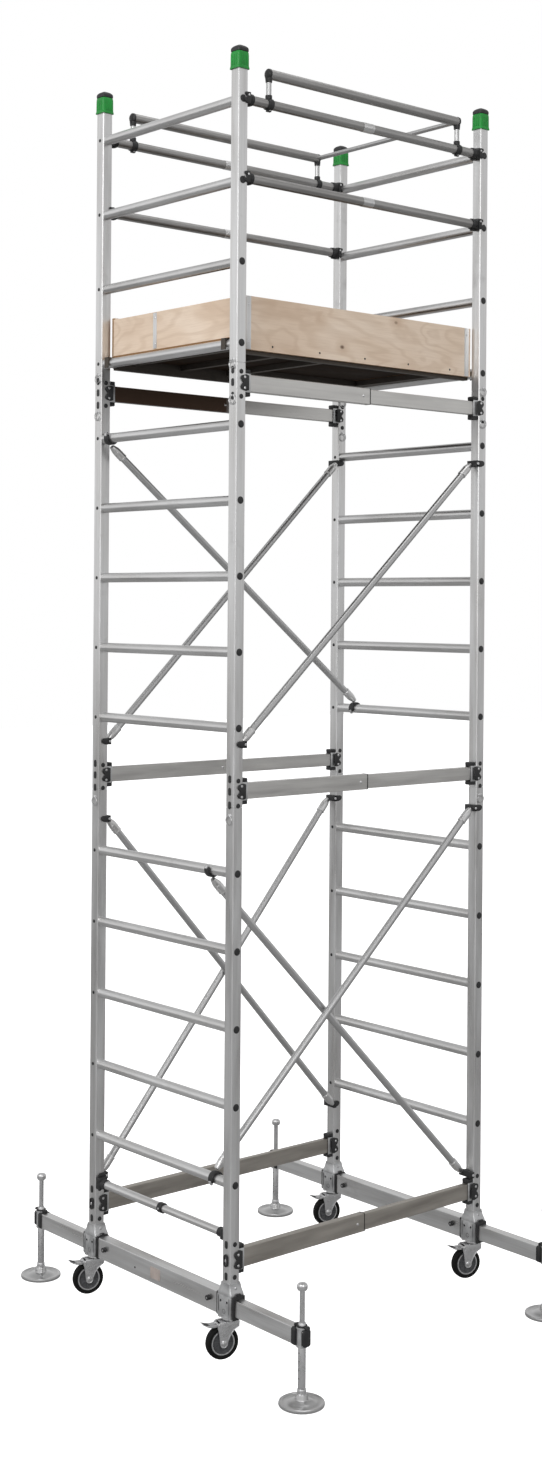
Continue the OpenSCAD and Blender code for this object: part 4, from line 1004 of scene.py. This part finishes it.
# ------------------------------------------------------------------ outrigger heads and jacks
for i, (sx, sy) in enumerate(CORNER, 1):
    k = CNAME[i - 1]
    H = T(sx * HX, sy * HEAD_Y, BEAM_Z)
    p = Piece("clamp_%d" % i, [CAST, BLACK, BRIGHT, DARK])
    p.lathe(H, [(0.0143, -0.0345), (0.0150, -0.0350), (0.0200, -0.0350), (0.0208, -0.0342), (0.0208, -0.0300), (0.0196, -0.0290), (0.0196, 0.0290), (0.0208, 0.0300), (0.0208, 0.0342), (0.0200, 0.0350), (0.0150, 0.0350), (0.0143, 0.0345)], 44, 0, close=True)
    # wide inner cap and narrow outer cap, chamfered, with ribs and corner screws
    for off, hw, hh, th in ((-sy * 0.0220, 0.0250, 0.0320, 0.0098), (sy * 0.0210, 0.0170, 0.0300, 0.0068)):
        Mc = H @ T(0, off, 0) @ R("X", 90)
        outer = [(-hw, 0.006 - hh), (0.006 - hw, -hh), (hw - 0.006, -hh), (hw, 0.006 - hh), (hw, hh - 0.006), (hw - 0.006, hh), (0.006 - hw, hh), (-hw, hh - 0.006)]
        p.prism(Mc, outer, -th, th, 0.0018, 1)
        for zz in (-0.012, 0.0, 0.012):
            p.box(H @ T(0, off, zz), 2 * hw - 0.0004, th * 1.3, 0.004, 0.0015, 3)
        for a in (-1, 1):
            for zz in (-0.022, 0.022):
                p.hexa(H @ T(a * (hw - 0.0006), off, zz) @ R("Y", 90 * a), 0.0062, -0.001, 0.0004, 2)
    # wiper ring and thumb latch on top of the sleeve
    p.lathe(H, [(0.0146, 0.0335), (0.0146, 0.0400), (0.0165, 0.0418), (0.0188, 0.0412), (0.0196, 0.0395), (0.0196, 0.0350)], 40, 1)
    p.prism(H @ T(0, sy * 0.0, 0.0350) @ R("Z", 90) @ R("X", 90), [(0.0180, 0.0), (0.0330, -0.004), (0.0350, 0.001), (0.0300, 0.0075), (0.0195, 0.0062)], -0.009, 0.009, 0.0012, 1)
    p.prism(H @ T(0, sy * 0.0, 0.0350) @ R("Z", -90) @ R("X", 90), [(0.0180, 0.0), (0.0330, -0.004), (0.0350, 0.001), (0.0300, 0.0075), (0.0195, 0.0062)], -0.009, 0.009, 0.0012, 1)
    p.done("outrigger_" + k, "cast_aluminium", "clamp_head_%d" % i)

    J = T(sx * HX, sy * HEAD_Y, 0)
    p = Piece("jack_%d" % i, [BRIGHT, ZINC, DARK])
    # foot plate: flat rim, dished ring and domed middle
    p.lathe(J, [(0, 0), (0.0795, 0), (0.0815, 0.0012), (0.0825, 0.0040), (0.0825, 0.0085), (0.0815, 0.0118), (0.0792, 0.0134), (0.0765, 0.0130), (0.0740, 0.0104), (0.0700, 0.0090), (0.0600, 0.0092), (0.0520, 0.0110),
                (0.0450, 0.0150), (0.0380, 0.0176), (0.0300, 0.0190), (0.0240, 0.0205), (0.0225, 0.0235), (0.0215, 0.0380), (0.0205, 0.0400), (0.0150, 0.0410), (0, 0.0412)], 80, 0)
    p.cyl(J @ T(0, 0, 0.030) @ R("Y", 90), 0.0038, -0.0258, 0.0258, 0.0008, 20, 1)
    for s in (-1, 1):
        p.lathe(J @ T(s * 0.0224, 0, 0.030) @ R("Y", 90 * s), [(0.0058, -0.002), (0.0058, 0.0004), (0.0046, 0.0010), (0.0, 0.0010)], 20, 1)
    # leg tube with its bottom ferrule, and the thinner rod above
    p.lathe(J, [(0.0158, 0.0395), (0.0160, 0.0405), (0.0160, 0.0560), (0.0152, 0.0575), (0.0140, 0.0578), (0.0140, 0.2880), (0.0132, 0.2895), (0.0096, 0.2905), (0.0095, 0.4000), (0.0110, 0.4010), (0.0118, 0.4030), (0.0165, 0.4045),
                (0.0186, 0.4080), (0.0190, 0.4110), (0.0190, 0.4190), (0.0184, 0.4225), (0.0160, 0.4265), (0.0115, 0.4290), (0.0050, 0.4300), (0, 0.4300)], 48, 1)
    for zz in (0.095, 0.125, 0.155, 0.185):
        # adjusting holes, as shallow dark discs in the tube wall: painted shade in place of the open holes
        for s in (-1, 1):
            p.lathe(J @ T(s * 0.01392, 0, zz) @ R("Y", 90 * s), [(0.0022, -0.0004), (0.0022, 0.00013), (0, 0.00013)], 16, 2)
    p.done("jack_" + k, "zinc_steel", "jack_leg_%d" % i)

    # lock knob on the beam
    lk = Vector(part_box("lock_button_%d" % i)[0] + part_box("lock_button_%d" % i)[1]) / 2
    p = Piece("lock_%d" % i, [BLACK, ZINC])
    Mk = T(sx * HX - BEAM_B / 2, lk.y, lk.z) @ R("Y", -90)
    p.lathe(Mk, [(0.0058, -0.0038), (0.0058, 0.0006), (0.0098, 0.0008), (0.0100, 0.0022), (0.0086, 0.0040), (0.0080, 0.0070), (0.0094, 0.0100), (0.0094, 0.0118), (0.0080, 0.0125), (0, 0.0125)], 32, 0)
    for q in range(12):
        p.box(Mk @ R("Z", 30 * q) @ T(0.0090, 0, 0.0106), 0.0016, 0.0022, 0.0030, 0.0004, 0)
    p.lathe(Mk, [(0.0035, 0.0122), (0.0035, 0.0127), (0, 0.0127)], 20, 1)
    p.done("lock_" + k, "black_plastic", "lock_button_%d" % i)

# ------------------------------------------------------------------ deck trim and hatch
ts0, ts1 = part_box("toe_board_strips")
p = Piece("toe_strips", [ALU_Z, ZINC])
for sy in (-1, 1):
    for x in (-0.580, 0.598):
        yf = sy * (TOE_HI.y + 0.0008)
        p.box(T(x, yf, (TOE_LO.z + TOE_LO.z + 0.200) / 2), 0.024, 0.0026, 0.199, 0.0006, 0)
        for dz in (0.030, 0.100, 0.170):
            p.lathe(T(x, yf + sy * 0.0013, TOE_LO.z + dz) @ R("X", -90 * sy), [(0.0044, -0.0004), (0.0044, 0.0002), (0.003, 0.0009), (0, 0.0010)], 16, 1)
ex = max(abs(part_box("deck_board")[0].x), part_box("deck_board")[1].x)
for sx in (-1, 1):
    for y in (0.107,):
        p.box(T(sx * (ex + 0.0010), y, DECK_HI.z + 0.073), 0.0026, 0.022, 0.140, 0.0006, 0)
        for dz in (0.022, 0.124):
            p.lathe(T(sx * (ex + 0.0022), y, DECK_HI.z + dz) @ R("Y", 90 * sx), [(0.0040, -0.0004), (0.0040, 0.0003), (0.003, 0.0009), (0, 0.0010)], 16, 1)
p.done("tower", "frame_aluminium", "toe_board_strips")

# screws along the lower edge of the side toe boards
p = Piece("board_screws", [DARK])
for sy in (-1, 1):
    for x in (-0.46, -0.22, 0.02, 0.26, 0.50):
        p.lathe(T(x, sy * TOE_HI.y, TOE_LO.z + 0.020) @ R("X", -90 * sy), [(0.0042, -0.0004), (0.0042, 0.0004), (0.0030, 0.0010), (0, 0.0010)], 16, 0)
p.done("tower", "zinc_steel")

h0, h1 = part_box("hatch_panel")
p = Piece("hatch", [FILM, ZINC, BLACK, ALU_X])
zt = DECK_HI.z
p.box(T((h0.x + h1.x) / 2, (h0.y + 0.248) / 2, (DECK_LO.z + zt) / 2), h1.x - h0.x, 0.248 - h0.y, zt - DECK_LO.z, 0.0012, 0)
for x in (0.060, 0.440):
    Mh = T(x + 0.0205, 0.251, zt + 0.0055) @ R("Y", 90)
    p.pipe(Mh, 0.0050, 0.00262, 0.0, 0.029, 24, 1, 0.0004)
    p.box(T(x + 0.035, 0.2325, zt + 0.0018), 0.029, 0.034, 0.0030, 0.0006, 1)
    for dx in (-0.008, 0.008):
        p.lathe(T(x + 0.035 + dx, 0.226, zt + 0.0032), [(0.0034, 0), (0.0034, 0.0005), (0.002, 0.0012), (0, 0.0013)], 14, 1)
# flush latch and a finger ring at the free edge
p.ring(T(0.27, -0.205, 0), [(0.27 * 0 + a, b) for a, b in rrect(0.110, 0.050, 0.008)], rrect(0.090, 0.030, 0.006), zt, zt + 0.0022, 2)
p.box(T(0.27, -0.205, zt + 0.0012), 0.088, 0.012, 0.0022, 0.0008, 1)
p.done("hatch", "film_faced_plywood", "hatch_panel")

# ------------------------------------------------------------------ stage, light, camera
FLOOR_GLOW = 0.84

def flat(name, size, loc, col):
    me = bpy.data.meshes.new(name)
    s = size / 2
    me.from_pydata([(-s, -s, 0), (s, -s, 0), (s, s, 0), (-s, s, 0)], [], [(0, 1, 2, 3)])
    o = bpy.data.objects.new(name, me)
    o.location = loc
    bpy.context.scene.collection.objects.link(o)
    m = bpy.data.materials.new(name + "_mat")
    m.use_nodes = True
    b = next(n for n in m.node_tree.nodes if n.type == "BSDF_PRINCIPLED")
    b.inputs["Base Color"].default_value = (*col, 1)
    b.inputs["Roughness"].default_value = 0.9
    b.inputs["Specular IOR Level"].default_value = 0.1
    me.materials.append(m)
    return o


fl = flat("floor", 60.0, (0, 0, -0.0005), (0.92, 0.92, 0.92))
fnt = fl.data.materials[0].node_tree
fb = next(n for n in fnt.nodes if n.type == "BSDF_PRINCIPLED")
fb.inputs["Emission Color"].default_value = (1, 1, 1, 1)
fb.inputs["Emission Strength"].default_value = FLOOR_GLOW
fo = next(n for n in fnt.nodes if n.type == "OUTPUT_MATERIAL")
fd = fnt.nodes.new("ShaderNodeBsdfDiffuse")
fd.inputs["Color"].default_value = (0.42, 0.42, 0.42, 1)
fl_lp = fnt.nodes.new("ShaderNodeLightPath")
fm = fnt.nodes.new("ShaderNodeMixShader")
fnt.links.new(fl_lp.outputs["Is Camera Ray"], fm.inputs["Fac"])
fnt.links.new(fd.outputs[0], fm.inputs[1])
fnt.links.new(fb.outputs[0], fm.inputs[2])
fnt.links.new(fm.outputs[0], fo.inputs["Surface"])

w = bpy.data.worlds.new("studio")
bpy.context.scene.world = w
w.use_nodes = True
nt = w.node_tree
nt.nodes.clear()
out = nt.nodes.new("ShaderNodeOutputWorld")
tc = nt.nodes.new("ShaderNodeTexCoord")
sp = nt.nodes.new("ShaderNodeSeparateXYZ")
nt.links.new(tc.outputs["Generated"], sp.inputs[0])


def wm(op, a, b=None, clamp=False):
    n = nt.nodes.new("ShaderNodeMath")
    n.operation = op
    n.use_clamp = clamp
    for i, v in enumerate((a, b)):
        if v is None:
            continue
        if isinstance(v, (int, float)):
            n.inputs[i].default_value = v
        else:
            nt.links.new(v, n.inputs[i])
    return n.outputs[0]


# soft light: a bright band round the horizon, strongest on the left, dimmer overhead and below
side = wm("ADD", wm("MULTIPLY", sp.outputs[0], -0.80), wm("MULTIPLY", sp.outputs[1], 0.45))
horiz = wm("ADD", wm("MULTIPLY", side, 0.10), 0.80)
mr = nt.nodes.new("ShaderNodeMapRange")
mr.interpolation_type = "SMOOTHSTEP"
mr.inputs["From Min"].default_value = 0.10
mr.inputs["From Max"].default_value = 0.85
mr.inputs["To Min"].default_value = 1.0
mr.inputs["To Max"].default_value = 0.62
nt.links.new(wm("ABSOLUTE", sp.outputs[2]), mr.inputs["Value"])
light = wm("MULTIPLY", horiz, mr.outputs["Result"])
bg = nt.nodes.new("ShaderNodeBackground")
bg.inputs["Color"].default_value = (1, 1, 1, 1)
nt.links.new(light, bg.inputs["Strength"])
bw = nt.nodes.new("ShaderNodeBackground")
bw.inputs["Color"].default_value = (1, 1, 1, 1)
bw.inputs["Strength"].default_value = 1.0
lp = nt.nodes.new("ShaderNodeLightPath")
ms = nt.nodes.new("ShaderNodeMixShader")
nt.links.new(lp.outputs["Is Camera Ray"], ms.inputs["Fac"])
nt.links.new(bg.outputs[0], ms.inputs[1])
nt.links.new(bw.outputs[0], ms.inputs[2])
nt.links.new(ms.outputs[0], out.inputs["Surface"])


def area(name, loc, target, size, energy):
    d = bpy.data.lights.new(name, "AREA")
    d.shape = "SQUARE"
    d.size = size
    d.energy = energy
    o = bpy.data.objects.new(name, d)
    o.location = loc
    o.rotation_mode = "QUATERNION"
    o.rotation_quaternion = (Vector(target) - Vector(loc)).to_track_quat("-Z", "Y")
    bpy.context.scene.collection.objects.link(o)


area("key", (-8.5, -1.5, 7.0), (0, 0, 3.2), 5.0, 290)
area("fill", (-4.0, -8.5, 5.0), (0, 0, 3.4), 4.0, 120)
area("top", (0.5, -0.5, 10.5), (0, 0, 0), 6.0, 160)

F, OY = 1863.0, 600.1
yaw, pitch, roll = math.radians(49.21), math.radians(0.20), math.radians(0.42)
fw = Vector((math.cos(pitch) * math.cos(yaw), math.cos(pitch) * math.sin(yaw), math.sin(pitch)))
rt = Vector((math.sin(yaw), -math.cos(yaw), 0))
up = rt.cross(fw)
r2 = rt * math.cos(roll) + up * math.sin(roll)
u2 = -rt * math.sin(roll) + up * math.cos(roll)
cd = bpy.data.cameras.new("camera")
cd.sensor_fit = "AUTO"
cd.sensor_width = 36.0
cd.lens = F / 1474 * 36.0
cd.shift_y = -(737 - OY) / 1474
cd.clip_start, cd.clip_end = 0.1, 200
cam = bpy.data.objects.new("camera", cd)
cam.matrix_world = Matrix(((r2.x, u2.x, -fw.x, -5.038), (r2.y, u2.y, -fw.y, -5.709), (r2.z, u2.z, -fw.z, 2.809), (0, 0, 0, 1)))
bpy.context.scene.collection.objects.link(cam)
bpy.context.scene.camera = cam
bpy.context.scene.view_settings.view_transform = "Standard"
